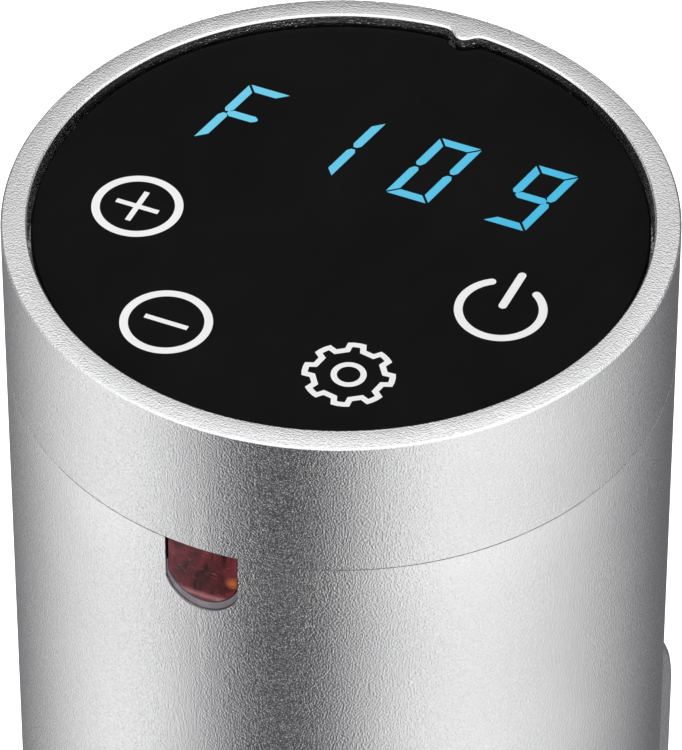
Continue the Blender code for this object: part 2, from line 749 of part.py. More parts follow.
def pump_blades():
    """Blades from the hub to the rim, swept back."""
    shape = bmesh.new()
    size = Matrix.Diagonal((9.6 * MM, 1.4 * MM, 9.2 * MM, 1.0))
    sweep = Matrix.Rotation(math.radians(-20), 4, "Z")
    centre = Matrix.Translation(Vector((7.9, -1.0, 17.4)) * MM)
    bmesh.ops.create_cube(shape, size=1.0, matrix=centre @ sweep @ size)
    return around(placed_mesh("impeller_blades", shape, None, smooth=False), 6)


def rotating_parts():
    rod("drive_shaft", SHAFT_RADIUS, (0, 0, SHAFT_BOTTOM), (0, 0, SHAFT_TOP), "steel", segments=16)
    washer("motor_rotor", 10.6, SHAFT_BORE, MOTOR_BOTTOM + 5.4, MOTOR_TOP - 4.0, "steel", steps=24)
    profile = (
        (SHAFT_BORE, 25.0),
        (4.6, 25.0),
        (4.6, 22.8),
        (12.8, 22.8),
        (12.8, 21.4),
        (4.6, 21.4),
        (4.6, 12.5),
        (SHAFT_BORE, 12.5),
    )
    impeller = turned("impeller", profile, "black_plastic", steps=24)
    join(impeller, pump_blades())
    hex_nut("impeller_nut", 4.0, SHAFT_BORE, SHAFT_BOTTOM + 0.2, 12.2, "steel")


def heater():
    tube_along("heater_coil", HEATER_TUBE, heater_path(), "steel")
    probe_top = (0, PROBE_Y, PLATE_FLOOR_TOP)
    rod("temperature_probe", 1.6, (0, PROBE_Y, PROBE_BOTTOM), probe_top, "steel", segments=12)
    for name, (x, y, low) in ELECTRODES.items():
        rod(f"level_electrode_{name}", 1.2, (x, y, low), (x, y, PLATE_FLOOR_TOP), "steel", segments=10)


# Sleeve and cap


def sleeve():
    tube = washer("sleeve", SLEEVE_RADIUS, SLEEVE_BORE, SLEEVE_BOTTOM, SLEEVE_TOP, "steel", steps=48)
    slots = prism("intake_slots", stadium(0, SLOT_LOW, SLOT_HIGH, SLOT_WIDTH), -28, -22, "Y")
    around(slots, SLOT_COUNT)
    reach = LUG_HALF_DEGREES + 0.8
    run = sector(23, 28, -reach, CAP_TWIST_DEGREES + reach, 7)
    entry = sector(23, 28, CAP_TWIST_DEGREES - reach, CAP_TWIST_DEGREES + reach, 2)
    low, high = LUG_LEVEL - 1.6, LUG_LEVEL + 1.6
    locks = around(prism("lock_slots", run, low, high), LUG_COUNT)
    entries = around(prism("lock_entries", entry, SLEEVE_BOTTOM - 1, high - 0.4), LUG_COUNT)
    return cut(tube, slots, locks, entries)


def bottom_cap():
    """A twist-on cap with water outlets in its side and a seat for the magnet and the foot in its base."""
    bend = [math.radians(30 * i) for i in range(4)]
    edge = [(SLEEVE_RADIUS - 1 + math.cos(a), 2.0 - math.sin(a)) for a in bend]
    profile = [
        (0, 7.2),
        (10.5, 7.2),
        (10.5, 5.0),
        (22.9, 5.0),
        (22.9, 22.0),
        (24.9, 22.0),
        (24.9, SLEEVE_BOTTOM - GAP),
        (SLEEVE_RADIUS, SLEEVE_BOTTOM - GAP),
        *edge,
        (24.2, 1.0),
        (24.2, 2.5),
        (8.3, 2.5),
        (8.3, 5.7),
        (0, 5.7),
    ]
    cap = turned("bottom_cap", profile, "black_plastic", steps=40)
    lug = sector(24.3, 25.85, -LUG_HALF_DEGREES, LUG_HALF_DEGREES, 2)
    lugs = around(prism("cap_lugs", lug, LUG_LEVEL - 1.3, LUG_LEVEL + 1.3), LUG_COUNT)
    outlets = around(block("outlets", (20.0, -6.5, 6.2), (30.0, 6.5, 9.6)), OUTLET_COUNT)
    turned("base_magnet", ((0, 5.4), (8.0, 5.4), (8.0, 2.8), (0, 2.8)), "magnet", steps=20)
    turned("foot_pad", ((0, 2.2), (23.9, 2.2), (23.9, 0.5), (23.4, 0.0), (0, 0.0)), "rubber", steps=40)
    return cut(join(cap, lugs), outlets)


# Clamp


def hook_outline():
    """The hook from the side, in (Y, Z): plate, bridge with a round shoulder, and rear leg."""
    plate_back = HEAD_RADIUS + GAP + HOOK_PLATE
    leg_front = HOOK_BACK - HOOK_LEG
    bridge_under = HOOK_TOP - HOOK_BRIDGE
    inner = HOOK_INNER_RADIUS
    half_leg = HOOK_LEG / 2
    return [
        (HOOK_FACE, HOOK_BOTTOM),
        (HOOK_FACE, HOOK_TOP),
        *arc((HOOK_BACK - HOOK_SHOULDER, HOOK_TOP - HOOK_SHOULDER), HOOK_SHOULDER, 90, 0, 10),
        *arc((HOOK_BACK - half_leg, HOOK_LEG_END + half_leg), half_leg, 0, -180, 6),
        *arc((leg_front - inner, bridge_under - inner), inner, 0, 90, 4),
        *arc((plate_back + inner, bridge_under - inner), inner, 90, 180, 4),
        (plate_back, HOOK_BOTTOM),
    ]


def clamp_hook():
    hook = prism("clamp_hook", hook_outline(), -HOOK_HALF_WIDTH, HOOK_HALF_WIDTH, "X", "aluminium")
    round_edges(hook, HOOK_ROUNDING, segments=2)
    low, high = (0, 0, HOOK_BOTTOM - 5), (0, 0, HOOK_TOP + 5)
    head_room = rod("head_room", HEAD_RADIUS + GAP, low, high, segments=96)
    start, end = (0, HOOK_BACK - 3, CLAMP_LEVEL), (0, BOSS_END, CLAMP_LEVEL)
    boss = rod("thread_boss", BOSS_RADIUS, start, end, segments=28)
    inner, outer = (0, HOOK_BACK - 14, CLAMP_LEVEL), (0, BOSS_END + 8, CLAMP_LEVEL)
    thread = rod("thread_bore", SCREW_RADIUS + THREAD_CLEARANCE, inner, outer, segments=24)
    holes = rods("hook_pilots", 1.9, [((0, 30, z), (0, 35.9, z)) for z in HOOK_SCREW_LEVELS], segments=12)
    return cut(join(cut(hook, head_room), boss), thread, holes)


def hook_screws():
    """Screws from inside the head into the hook's plate."""
    profile = ((0, 35.6), (1.6, 35.6), (1.6, 29.6), (3.0, 29.6), (3.0, 27.8), (0, 27.4))
    for number, level in enumerate(HOOK_SCREW_LEVELS, start=1):
        turned(f"hook_screw_{number}", profile, "steel", steps=12, axis="Y", at=(0, 0, level))


def jaw_pad():
    front = HEAD_RADIUS + GAP + HOOK_PLATE + GAP
    low = (-JAW_PAD_HALF_WIDTH, front, HOOK_BOTTOM + 2)
    high = (JAW_PAD_HALF_WIDTH, front + JAW_PAD_THICKNESS, HOOK_TOP - 17)
    pad = block("jaw_pad", low, high, "rubber")
    return round_edges(pad, 0.5, segments=1)


def clamp_screw_parts():
    centre = (0, 0, CLAMP_LEVEL)
    shoe = ((0, 55.6), (3.5, 55.6), (3.5, 57.6), (8.6, 57.6), (9.0, 57.2), (9.0, 54.9), (0, 54.9))
    turned("pressure_shoe", shoe, "steel", steps=28, axis="Y", at=centre)
    pad = ((0, 54.6), (8.6, 54.6), (8.6, 53.1), (8.1, 52.6), (0, 52.6))
    turned("pressure_pad", pad, "rubber", steps=28, axis="Y", at=centre)
    bolt = ((0, 88.7), (SCREW_RADIUS, 88.7), (SCREW_RADIUS, 58.2), (3.1, 57.6), (3.1, 55.9), (0, 55.9))
    turned("clamp_screw", bolt, "steel", steps=20, axis="Y", at=centre)
    turns = [math.tau * i / 48 for i in range(48)]
    lobed = [(a, KNOB_RADIUS + KNOB_LOBE * math.cos(KNOB_LOBES * a)) for a in turns]
    outline = [(radius * math.cos(a), radius * math.sin(a)) for a, radius in lobed]
    knob = prism("clamp_knob", outline, KNOB_FRONT, KNOB_END, "Y", "black_plastic")
    knob.location = Vector(centre) * MM
    round_edges(knob, 1.2, segments=1)
    start = (0, KNOB_FRONT - 5, CLAMP_LEVEL)
    bore = rod("knob_bore", SCREW_RADIUS + GAP, start, (0, KNOB_BORE_END, CLAMP_LEVEL), segments=20)
    return cut(knob, bore)


clear_scene()
parts = new_collection("sous_vide_circulator")
helpers = new_collection("helpers")

top_collar()
glass_panel()
panel_carrier()
display_module()
touch_contacts()
control_board()
board_screws()
buzzer()
status_window()
status_led()
head_tube()
inner_frame()
power_board()
heat_sink()
cord_gland()
seal_plate()
seals()
base_ring()
motor()
motor_mount()
rotating_parts()
heater()
sleeve()
bottom_cap()
clamp_hook()
hook_screws()
jaw_pad()
clamp_screw_parts()
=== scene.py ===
"""Looks of a sous vide circulator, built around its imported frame.

Lengths are millimetres until they reach Blender, in the frame's own axes: +Z up the shaft, the status
window towards -Y, the clamp on +Y.
"""

import json
import math

import bmesh
import bpy
from mathutils import Matrix, Vector


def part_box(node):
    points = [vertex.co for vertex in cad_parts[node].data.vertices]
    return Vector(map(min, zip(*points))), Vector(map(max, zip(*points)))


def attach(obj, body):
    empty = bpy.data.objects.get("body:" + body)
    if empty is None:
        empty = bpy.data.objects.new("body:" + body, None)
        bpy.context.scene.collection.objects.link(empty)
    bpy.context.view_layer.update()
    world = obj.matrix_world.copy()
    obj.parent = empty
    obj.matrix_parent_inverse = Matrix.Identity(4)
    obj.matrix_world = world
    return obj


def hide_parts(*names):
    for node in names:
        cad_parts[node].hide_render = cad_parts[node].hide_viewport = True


MM = 0.001
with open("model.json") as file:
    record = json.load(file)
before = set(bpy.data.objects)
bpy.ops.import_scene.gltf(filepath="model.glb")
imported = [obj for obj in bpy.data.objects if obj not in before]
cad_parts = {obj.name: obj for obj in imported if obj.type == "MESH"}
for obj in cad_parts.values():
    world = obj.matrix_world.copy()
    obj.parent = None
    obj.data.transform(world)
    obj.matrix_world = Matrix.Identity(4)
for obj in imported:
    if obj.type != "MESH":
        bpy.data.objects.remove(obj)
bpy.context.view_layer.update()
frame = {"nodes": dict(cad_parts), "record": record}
scene = bpy.context.scene
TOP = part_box("top_collar")[1].z / MM
COLLAR_SEAM, TUBE_TOP, GLASS_TOP = 294.64, 294.58, 308.9
GLAND_LEVEL, CLAMP_LEVEL = 250, 142.0
CAMERA_AZIMUTH = 24.0


# Node helpers


def add(tree, kind, inputs=None, **settings):
    """A shader node, with its settings and its inputs: numbers, or another node's output."""
    node = tree.nodes.new("ShaderNode" + kind)
    for key, value in settings.items():
        setattr(node, key, value)
    for key, value in (inputs or {}).items():
        if isinstance(value, bpy.types.NodeSocket):
            tree.links.new(value, node.inputs[key])
        else:
            node.inputs[key].default_value = value
    return node


def math_node(tree, operation, *values):
    return add(tree, "Math", dict(enumerate(values)), operation=operation).outputs[0]


def own_coordinates(tree, stretch=(1, 1, 1)):
    place = add(tree, "TexCoord").outputs["Object"]
    return add(tree, "Mapping", {"Vector": place, "Scale": stretch}).outputs[0]


def round_coordinates(tree, stretch=(1, 1, 1), radius=32.0):
    """Distance around the shaft, distance from it, and height."""
    x, y, z = add(tree, "SeparateXYZ", {0: add(tree, "TexCoord").outputs["Object"]}).outputs
    turn = math_node(tree, "ARCTAN2", x, math_node(tree, "MULTIPLY", y, -1.0))
    around = math_node(tree, "MULTIPLY", turn, radius * MM)
    squares = math_node(tree, "ADD", math_node(tree, "MULTIPLY", x, x), math_node(tree, "MULTIPLY", y, y))
    across = math_node(tree, "SQRT", squares)
    wrapped = add(tree, "CombineXYZ", {0: around, 1: across, 2: z}).outputs[0]
    return add(tree, "Mapping", {"Vector": wrapped, "Scale": stretch}).outputs[0]


def noise(tree, vector, scale, detail=2.0, rough=0.5, warp=0.0):
    inputs = {"Vector": vector, "Scale": scale, "Detail": detail, "Roughness": rough, "Distortion": warp}
    return add(tree, "TexNoise", inputs).outputs[0]


def span(tree, value, low, high, to_low=0.0, to_high=1.0):
    inputs = {0: value, 1: low, 2: high, 3: to_low, 4: to_high}
    return add(tree, "MapRange", inputs).outputs[0]


def ramp(tree, value, *stops, interpolation="LINEAR"):
    node = add(tree, "ValToRGB", {0: value})
    node.color_ramp.interpolation = interpolation
    elements = node.color_ramp.elements
    while len(elements) < len(stops):
        elements.new(0.5)
    for element, (position, colour) in zip(elements, stops):
        element.position = position
        element.color = (*colour, 1.0)
    return node.outputs[0]


def mixed(tree, factor, first, second, blend="MIX"):
    node = add(tree, "Mix", data_type="RGBA", blend_type=blend)
    for index, value in ((0, factor), (6, first), (7, second)):
        if isinstance(value, bpy.types.NodeSocket):
            tree.links.new(value, node.inputs[index])
        else:
            node.inputs[index].default_value = value if index == 0 else (*value, 1.0)
    return node.outputs[2]


def bumped(tree, height, distance, strength=1.0, below=None):
    inputs = {"Height": height, "Distance": distance * MM, "Strength": strength}
    if below:
        inputs["Normal"] = below
    return add(tree, "Bump", inputs).outputs[0]


def edges(tree, low=0.52, high=0.60):
    """1 along outer edges, 0 on flats and in hollows."""
    return span(tree, add(tree, "NewGeometry").outputs["Pointiness"], low, high)


def new_material(name):
    made = bpy.data.materials.new(name)
    made.use_nodes = True
    made.node_tree.nodes.clear()
    return made, made.node_tree


def principled(tree, inputs):
    shader = add(tree, "BsdfPrincipled", inputs)
    add(tree, "OutputMaterial", {"Surface": shader.outputs[0]})


# Finishes


def blasted_aluminium(name, streaks):
    """Bead-blasted and clear-anodised. The collar also keeps fine turning marks."""
    made, tree = new_material(name)
    place = own_coordinates(tree)
    grain = noise(tree, place, 5600.0, 1.0, 0.6)
    leather = noise(tree, place, 1900.0, 2.0, 0.5)
    cloud = noise(tree, place, 70.0, 3.0, 0.5)
    fine = math_node(tree, "MULTIPLY", grain, 0.7)
    tone = math_node(tree, "ADD", fine, math_node(tree, "MULTIPLY", cloud, 0.3))
    colour = ramp(tree, tone, (0.3, (0.76, 0.76, 0.775)), (0.7, (0.92, 0.92, 0.925)))
    colour = mixed(tree, math_node(tree, "MULTIPLY", edges(tree), 0.5), colour, (0.97, 0.97, 0.97))
    rough = span(tree, math_node(tree, "ADD", grain, leather), 0.7, 1.3, 0.15, 0.23)
    relief = bumped(tree, leather, 0.005)
    relief = bumped(tree, grain, 0.062, below=relief)
    if streaks:
        lines = noise(tree, round_coordinates(tree, (0.02, 1, 1)), 5000.0, 2.0, 0.6)
        relief = bumped(tree, lines, 0.022, below=relief)
    principled(tree, {"Base Color": colour, "Metallic": 1.0, "Roughness": rough, "Normal": relief})
    return made


def metal(name, dark, light, rough, lay=(1, 1, 1), scale=2500.0, depth=0.004, turned=False, spots=60.0):
    """Bare metal with the fine lines of its brushing or turning."""
    made, tree = new_material(name)
    place = round_coordinates(tree, lay) if turned else own_coordinates(tree, lay)
    lines = noise(tree, place, scale, 3.0, 0.6)
    cloud = noise(tree, own_coordinates(tree), spots, 3.0, 0.5)
    half = math_node(tree, "MULTIPLY", lines, 0.5)
    tone = math_node(tree, "ADD", half, math_node(tree, "MULTIPLY", cloud, 0.5))
    colour = ramp(tree, tone, (0.3, dark), (0.7, light))
    bright = tuple(min(1.0, c * 1.15) for c in light)
    worn = mixed(tree, math_node(tree, "MULTIPLY", edges(tree), 0.6), colour, bright)
    gloss = span(tree, tone, 0.3, 0.7, rough[0], rough[1])
    inputs = {"Base Color": worn, "Metallic": 1.0, "Roughness": gloss}
    principled(tree, inputs | {"Normal": bumped(tree, lines, depth)})
    return made


def moulded(name, dark, light, rough, scale=1800.0, depth=0.010, specular=0.4, edge=1.6):
    """Moulded plastic or rubber: a fine spark-eroded texture, slight mottling and paler rubbed edges."""
    made, tree = new_material(name)
    place = own_coordinates(tree)
    fine = noise(tree, place, scale, 2.0, 0.5)
    cloud = noise(tree, place, 90.0, 3.0, 0.5)
    part = math_node(tree, "MULTIPLY", fine, 0.4)
    tone = math_node(tree, "ADD", part, math_node(tree, "MULTIPLY", cloud, 0.6))
    colour = ramp(tree, tone, (0.3, dark), (0.7, light))
    rubbed = tuple(min(1.0, c * edge + 0.01) for c in light)
    colour = mixed(tree, math_node(tree, "MULTIPLY", edges(tree), 0.7), colour, rubbed)
    gloss = span(tree, tone, 0.3, 0.7, rough[0], rough[1])
    inputs = {"Base Color": colour, "Roughness": gloss, "Specular IOR Level": specular}
    principled(tree, inputs | {"Normal": bumped(tree, fine, depth)})
    return made


def black_glass():
    """Cover glass with a black print behind it, and the faintest smears of handling in its gloss."""
    made, tree = new_material("cover_glass")
    smears = noise(tree, own_coordinates(tree, (1, 0.6, 1)), 120.0, 4.0, 0.55, 0.8)
    dust = noise(tree, own_coordinates(tree), 2600.0, 1.0, 0.5)
    colour = ramp(tree, smears, (0.35, (0.0020, 0.0020, 0.0021)), (0.7, (0.0030, 0.0030, 0.0031)))
    gloss = span(tree, math_node(tree, "ADD", smears, dust), 0.7, 1.3, 0.10, 0.20)
    principled(tree, {"Base Color": colour, "Roughness": gloss, "Specular IOR Level": 0.03})
    return made


def red_window():
    """Dark red clear plastic over a dim lamp: flow streaks, pinkish veins, a painted pink highlight along its
    lower edge, and a painted amber glow beside the lamp."""
    made, tree = new_material("window_red")
    place = add(tree, "TexCoord").outputs["Object"]
    _, _, z = add(tree, "SeparateXYZ", {0: place}).outputs
    flow = noise(tree, own_coordinates(tree, (1.0, 1.0, 0.55)), 420.0, 3.0, 0.6, 1.2)
    veins = noise(tree, own_coordinates(tree, (0.7, 1.0, 1.6)), 700.0, 2.0, 0.5, 2.0)
    colour = ramp(
        tree, flow,
        (0.30, (0.012, 0.003, 0.003)), (0.45, (0.040, 0.006, 0.007)),
        (0.58, (0.072, 0.009, 0.012)), (0.75, (0.120, 0.022, 0.030)),
    )
    colour = mixed(tree, span(tree, veins, 0.58, 0.74, 0.0, 0.35), colour, (0.20, 0.050, 0.065))
    # Painted light: an amber glow in the colour, and a faint emission, around the spot where the lamp sits
    # behind the lens.
    lamp = Vector((3.1, -31.5, 291.0)) * MM
    away = add(tree, "VectorMath", {0: place, 1: lamp}, operation="DISTANCE").outputs["Value"]
    glow = math_node(tree, "MULTIPLY", span(tree, away, 0.0009, 0.0001), span(tree, flow, 0.35, 0.6))
    colour = mixed(tree, glow, colour, (0.24, 0.065, 0.012))
    # Painted highlight: a pale pink band along the lens's lower edge, where its bevel would catch the light.
    painted_lower_highlight = math_node(tree, "MULTIPLY", span(tree, z, 0.2890, 0.2885), span(tree, z, 0.2880, 0.2884))
    colour = mixed(tree, math_node(tree, "MULTIPLY", painted_lower_highlight, 0.5), colour, (0.40, 0.17, 0.18))
    dim = span(tree, z, 0.2935, 0.2882, 1.0, 0.75)
    principled(tree, {
        "Base Color": mixed(tree, 1.0, colour, dim, "MULTIPLY"),
        "Roughness": span(tree, veins, 0.3, 0.7, 0.12, 0.30),
        "Specular IOR Level": 0.2,
        "Coat Weight": 0.1,
        "Coat Roughness": 0.08,
        "Emission Color": mixed(tree, glow, (0.0, 0.0, 0.0), (0.10, 0.02, 0.002)),
        "Emission Strength": 0.5,
        "Normal": bumped(tree, flow, 0.10),
    })
    return made


def lit(name, colour, paler, strength):
    """A lit sign behind the glass: a little uneven along its length, from the lamps under it."""
    made, tree = new_material(name)
    x, _, _ = add(tree, "SeparateXYZ", {0: add(tree, "TexCoord").outputs["Object"]}).outputs
    patch = noise(tree, own_coordinates(tree), 260.0, 2.0, 0.5)
    uneven = math_node(tree, "MULTIPLY", patch, 0.2)
    along = math_node(tree, "ADD", span(tree, x, 0.018, -0.018), uneven)
    shade = ramp(tree, along, (0.1, colour), (1.0, paler))
    principled(tree, {
        "Base Color": mixed(tree, 0.97, shade, (0.0, 0.0, 0.0)),
        "Roughness": span(tree, patch, 0.3, 0.7, 0.3, 0.45),
        "Specular IOR Level": 0.05,
        "Emission Color": shade,
        "Emission Strength": strength,
    })
    return made


def circuit_board():
    """Green solder mask with the tracks showing faintly through it."""
    made, tree = new_material("solder_mask")
    place = own_coordinates(tree)
    tracks = add(tree, "TexBrick", {"Vector": place, "Scale": 160.0, "Mortar Size": 0.06}).outputs[1]
    cloud = noise(tree, place, 200.0, 3.0, 0.5)
    base = ramp(tree, cloud, (0.3, (0.004, 0.055, 0.022)), (0.7, (0.008, 0.085, 0.035)))
    colour = mixed(tree, math_node(tree, "MULTIPLY", tracks, 0.6), base, (0.020, 0.160, 0.060))
    gloss = span(tree, cloud, 0.3, 0.7, 0.30, 0.45)
    principled(tree, {"Base Color": colour, "Roughness": gloss, "Normal": bumped(tree, tracks, 0.03)})
    return made


FINISH = {
    "tube": blasted_aluminium("blasted_tube", False),
    "collar": blasted_aluminium("blasted_collar", True),
    "heat_sink": metal(
        "extruded_aluminium", (0.60, 0.60, 0.62), (0.74, 0.74, 0.75),
        (0.30, 0.45), (1, 1, 0.03),
    ),
    "sleeve": metal(
        "brushed_sleeve", (0.55, 0.55, 0.555), (0.70, 0.70, 0.70),
        (0.20, 0.30), (0.03, 1, 1), 5000.0, 0.004, True,
    ),
    "steel": metal(
        "polished_steel", (0.52, 0.52, 0.53), (0.68, 0.68, 0.68),
        (0.16, 0.26), (1, 1, 0.05), 3000.0, 0.003,
    ),
    "heater": metal(
        "heater_sheath", (0.40, 0.38, 0.37), (0.62, 0.60, 0.58),
        (0.22, 0.38), (1, 1, 1), 900.0, 0.006, False, 140.0,
    ),
    "plated": metal(
        "zinc_plate", (0.44, 0.45, 0.46), (0.60, 0.60, 0.60),
        (0.28, 0.42), (1, 1, 0.2), 1600.0, 0.006,
    ),
    "brass": metal(
        "turned_brass", (0.60, 0.38, 0.12), (0.76, 0.54, 0.22),
        (0.22, 0.34), (1, 1, 0.2), 2200.0, 0.004,
    ),
    "magnet": metal(
        "ferrite", (0.06, 0.06, 0.065), (0.11, 0.11, 0.115),
        (0.45, 0.62), (1, 1, 1), 1200.0, 0.010,
    ),
    "glass": black_glass(),
    "window": red_window(),
    "black": moulded("black_moulding", (0.014, 0.014, 0.015), (0.024, 0.024, 0.026), (0.42, 0.56)),
    "pump": moulded(
        "filled_nylon", (0.020, 0.020, 0.021), (0.036, 0.036, 0.038),
        (0.36, 0.50), 1200.0, 0.012,
    ),
    "white": moulded(
        "white_moulding", (0.60, 0.59, 0.56), (0.72, 0.71, 0.68),
        (0.38, 0.50), 1500.0, 0.008, 0.45, 1.1,
    ),
    "rubber": moulded(
        "soft_rubber", (0.018, 0.018, 0.019), (0.030, 0.030, 0.031),
        (0.68, 0.84), 1400.0, 0.016, 0.25, 1.5,
    ),
    # The sill's grey-mauve is a painted reflection: the tint the red lens gives the tube's cut metal face.
    "sill": moulded(
        "sill_painted_lens_reflection", (0.035, 0.031, 0.036), (0.125, 0.110, 0.125),
        (0.36, 0.50), 4500.0, 0.020, 0.25, 1.2,
    ),
    "board": circuit_board(),
    "digits": lit("readout_blue", (0.062, 0.470, 0.720), (0.150, 0.580, 0.780), 1.0),
    "signs": lit("sign_white", (0.79, 0.79, 0.80), (0.83, 0.83, 0.83), 1.0),
}
SLOT_FINISH = {
    "anodised_aluminium": "tube",
    "raw_aluminium": "heat_sink",
    "stainless_steel": "steel",
    "plated_steel": "plated",
    "black_glass": "glass",
    "red_lens": "window",
    "black_plastic": "black",
    "white_plastic": "white",
    "black_rubber": "rubber",
    "circuit_board": "board",
    "brass": "brass",
    "magnet_ferrite": "magnet",
}


# Shapes. Each maker gives a bmesh in millimetres.

AXES = {
    "X": Matrix(((0, 0, 1), (1, 0, 0), (0, 1, 0))).to_4x4(),
    "Y": Matrix(((1, 0, 0), (0, 0, -1), (0, 1, 0))).to_4x4(),
    "Z": Matrix.Identity(4),
}


def arc(centre, radius, start, end, count):
    angles = (math.radians(start + (end - start) * i / count) for i in range(count + 1))
    return [(centre[0] + radius * math.cos(a), centre[1] + radius * math.sin(a)) for a in angles]


def softened(outline, radius, count=3, closed=True):
    """The outline with its corners rounded, by the radius or by what the sides leave room for."""
    result = []
    for index, corner in enumerate(outline):
        if not closed and index in (0, len(outline) - 1):
            result.append(corner)
            continue
        here = Vector(corner)
        back = Vector(outline[index - 1]) - here
        ahead = Vector(outline[(index + 1) % len(outline)]) - here
        angle = back.angle(ahead)
        if angle > math.radians(160):
            result.append(corner)
            continue
        reach = min(radius / math.tan(angle / 2), 0.45 * back.length, 0.45 * ahead.length)
        true_radius = reach * math.tan(angle / 2)
        inward = (back.normalized() + ahead.normalized()).normalized()
        centre = here + inward * (true_radius / math.sin(angle / 2))
        first = here + back.normalized() * reach - centre
        last = here + ahead.normalized() * reach - centre
        begin = math.atan2(first.y, first.x)
        turn = (math.atan2(last.y, last.x) - begin + math.pi) % math.tau - math.pi
        angles = (begin + turn * i / count for i in range(count + 1))
        for a in angles:
            result.append((centre.x + true_radius * math.cos(a), centre.y + true_radius * math.sin(a)))
    return result


def lathe(outline, steps=128, axis="Z", at=(0, 0, 0), bend=None):
    """A turned shape from a closed outline of (radius, height). bend may move a point, by its angle."""
    shape = bmesh.new()
    rings = []
    for i in range(steps):
        angle = math.tau * i / steps
        ring = []
        for radius, height in outline:
            if bend:
                radius, height = bend(radius, height, angle)
            ring.append(shape.verts.new((radius * math.cos(angle), radius * math.sin(angle), height)))
        rings.append(ring)
    count = len(outline)
    for i, ring in enumerate(rings):
        beside = rings[(i + 1) % steps]
        for j in range(count):
            k = (j + 1) % count
            if max(outline[j][0], outline[k][0]) > 0:
                shape.faces.new((ring[j], ring[k], beside[k], beside[j]))
    bmesh.ops.remove_doubles(shape, verts=shape.verts, dist=1e-4)
    return turned_to(shape, axis, at)


def turned_to(shape, axis="Z", at=(0, 0, 0)):
    """The shape on its axis, facing outwards. The swap onto Y mirrors it, so its faces may need turning."""
    if axis == "Y":
        shape.transform(Matrix(((1, 0, 0), (0, 0, 1), (0, 1, 0))).to_4x4())
    shape.transform(Matrix.Translation(Vector(at)))
    bmesh.ops.recalc_face_normals(shape, faces=shape.faces)
    if shape.calc_volume(signed=True) < 0:
        bmesh.ops.reverse_faces(shape, faces=shape.faces)
    return shape


def slab(outlines, low, high, axis="Z"):
    """Flat outlines given a thickness along an axis."""
    shape = bmesh.new()
    for outline in outlines:
        under = [shape.verts.new((*point, low)) for point in outline]
        over = [shape.verts.new((*point, high)) for point in outline]
        shape.faces.new(under)
        shape.faces.new(over)
        for i in range(len(outline)):
            k = (i + 1) % len(outline)
            shape.faces.new((under[i], under[k], over[k], over[i]))
    shape.transform(AXES[axis])
    bmesh.ops.recalc_face_normals(shape, faces=shape.faces)
    return shape


def repeated(shape, count, first=0.0):
    """The shape repeated around the shaft."""
    source = shape.copy()
    shape.transform(Matrix.Rotation(math.radians(first), 4, "Z"))
    for i in range(1, count):
        turned = source.copy()
        turned.transform(Matrix.Rotation(math.radians(first) + math.tau * i / count, 4, "Z"))
        held = bpy.data.meshes.new("held")
        turned.to_mesh(held)
        shape.from_mesh(held)
        bpy.data.meshes.remove(held)
        turned.free()
    source.free()
    return shape


def merged(*shapes):
    first = shapes[0]
    for other in shapes[1:]:
        held = bpy.data.meshes.new("held")
        other.to_mesh(held)
        first.from_mesh(held)
        bpy.data.meshes.remove(held)
        other.free()
    return first


def combined(shape, operation, *tools):
    """A Boolean of one shape with others."""
    def held(source):
        mesh = bpy.data.meshes.new("held")
        source.to_mesh(mesh)
        source.free()
        made = bpy.data.objects.new("held", mesh)
        scene.collection.objects.link(made)
        return made

    body = held(shape)
    others = [held(tool) for tool in tools]
    for other in others:
        modifier = body.modifiers.new("with", "BOOLEAN")
        modifier.operation = operation
        modifier.object = other
        modifier.solver = "EXACT"
    result = bmesh.new()
    result.from_mesh(body.evaluated_get(bpy.context.evaluated_depsgraph_get()).data)
    for made in (body, *others):
        mesh = made.data
        bpy.data.objects.remove(made)
        bpy.data.meshes.remove(mesh)
    return result


def swept(points, radius, sides=32):
    """A round tube along points, with its rings kept from twisting."""
    shape = bmesh.new()
    path = [Vector(p) for p in points]
    side = None
    rings = []
    for i, point in enumerate(path):
        ahead = (path[min(i + 1, len(path) - 1)] - path[max(i - 1, 0)]).normalized()
        if side is None:
            side = ahead.orthogonal().normalized()
        side = (side - ahead * side.dot(ahead)).normalized()
        other = ahead.cross(side)
        turns = (math.tau * k / sides for k in range(sides))
        spokes = ((side * math.cos(a) + other * math.sin(a)) * radius for a in turns)
        rings.append([shape.verts.new(point + spoke) for spoke in spokes])
    for first, second in zip(rings, rings[1:]):
        for k in range(sides):
            j = (k + 1) % sides
            shape.faces.new((first[k], first[j], second[j], second[k]))
    shape.faces.new(rings[0])
    shape.faces.new(rings[-1])
    bmesh.ops.recalc_face_normals(shape, faces=shape.faces)
    return shape


def polygon(sides, radius, first=0.0):
    return arc((0, 0), radius, first, first + 360 - 360 / sides, sides - 1)


def piece(name, shape, finish, body, nodes=(), bevel=0.0, segments=3, sharp=32, walls=()):
    """A finished piece from a shape. walls are radii of upright walls about the shaft, shaded as true
    cylinders."""
    shape.transform(Matrix.Scale(MM, 4))
    mesh = bpy.data.meshes.new(name)
    shape.to_mesh(mesh)
    shape.free()
    made = bpy.data.objects.new(name, mesh)
    scene.collection.objects.link(made)
    mesh.materials.append(FINISH[finish])
    mesh.shade_smooth()
    mesh.set_sharp_from_angle(angle=math.radians(sharp))
    if walls:
        true_walls(mesh, walls)
    else:
        if bevel:
            edge = made.modifiers.new("rounded_edges", "BEVEL")
            edge.width = bevel * MM
            edge.segments = segments
            edge.limit_method = "ANGLE"
            edge.angle_limit = math.radians(sharp)
            edge.harden_normals = False
        weighted = made.modifiers.new("flat_faces", "WEIGHTED_NORMAL")
        weighted.keep_sharp = not bevel
        weighted.weight = 80
    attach(made, body)
    if nodes:
        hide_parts(*nodes)
    return made


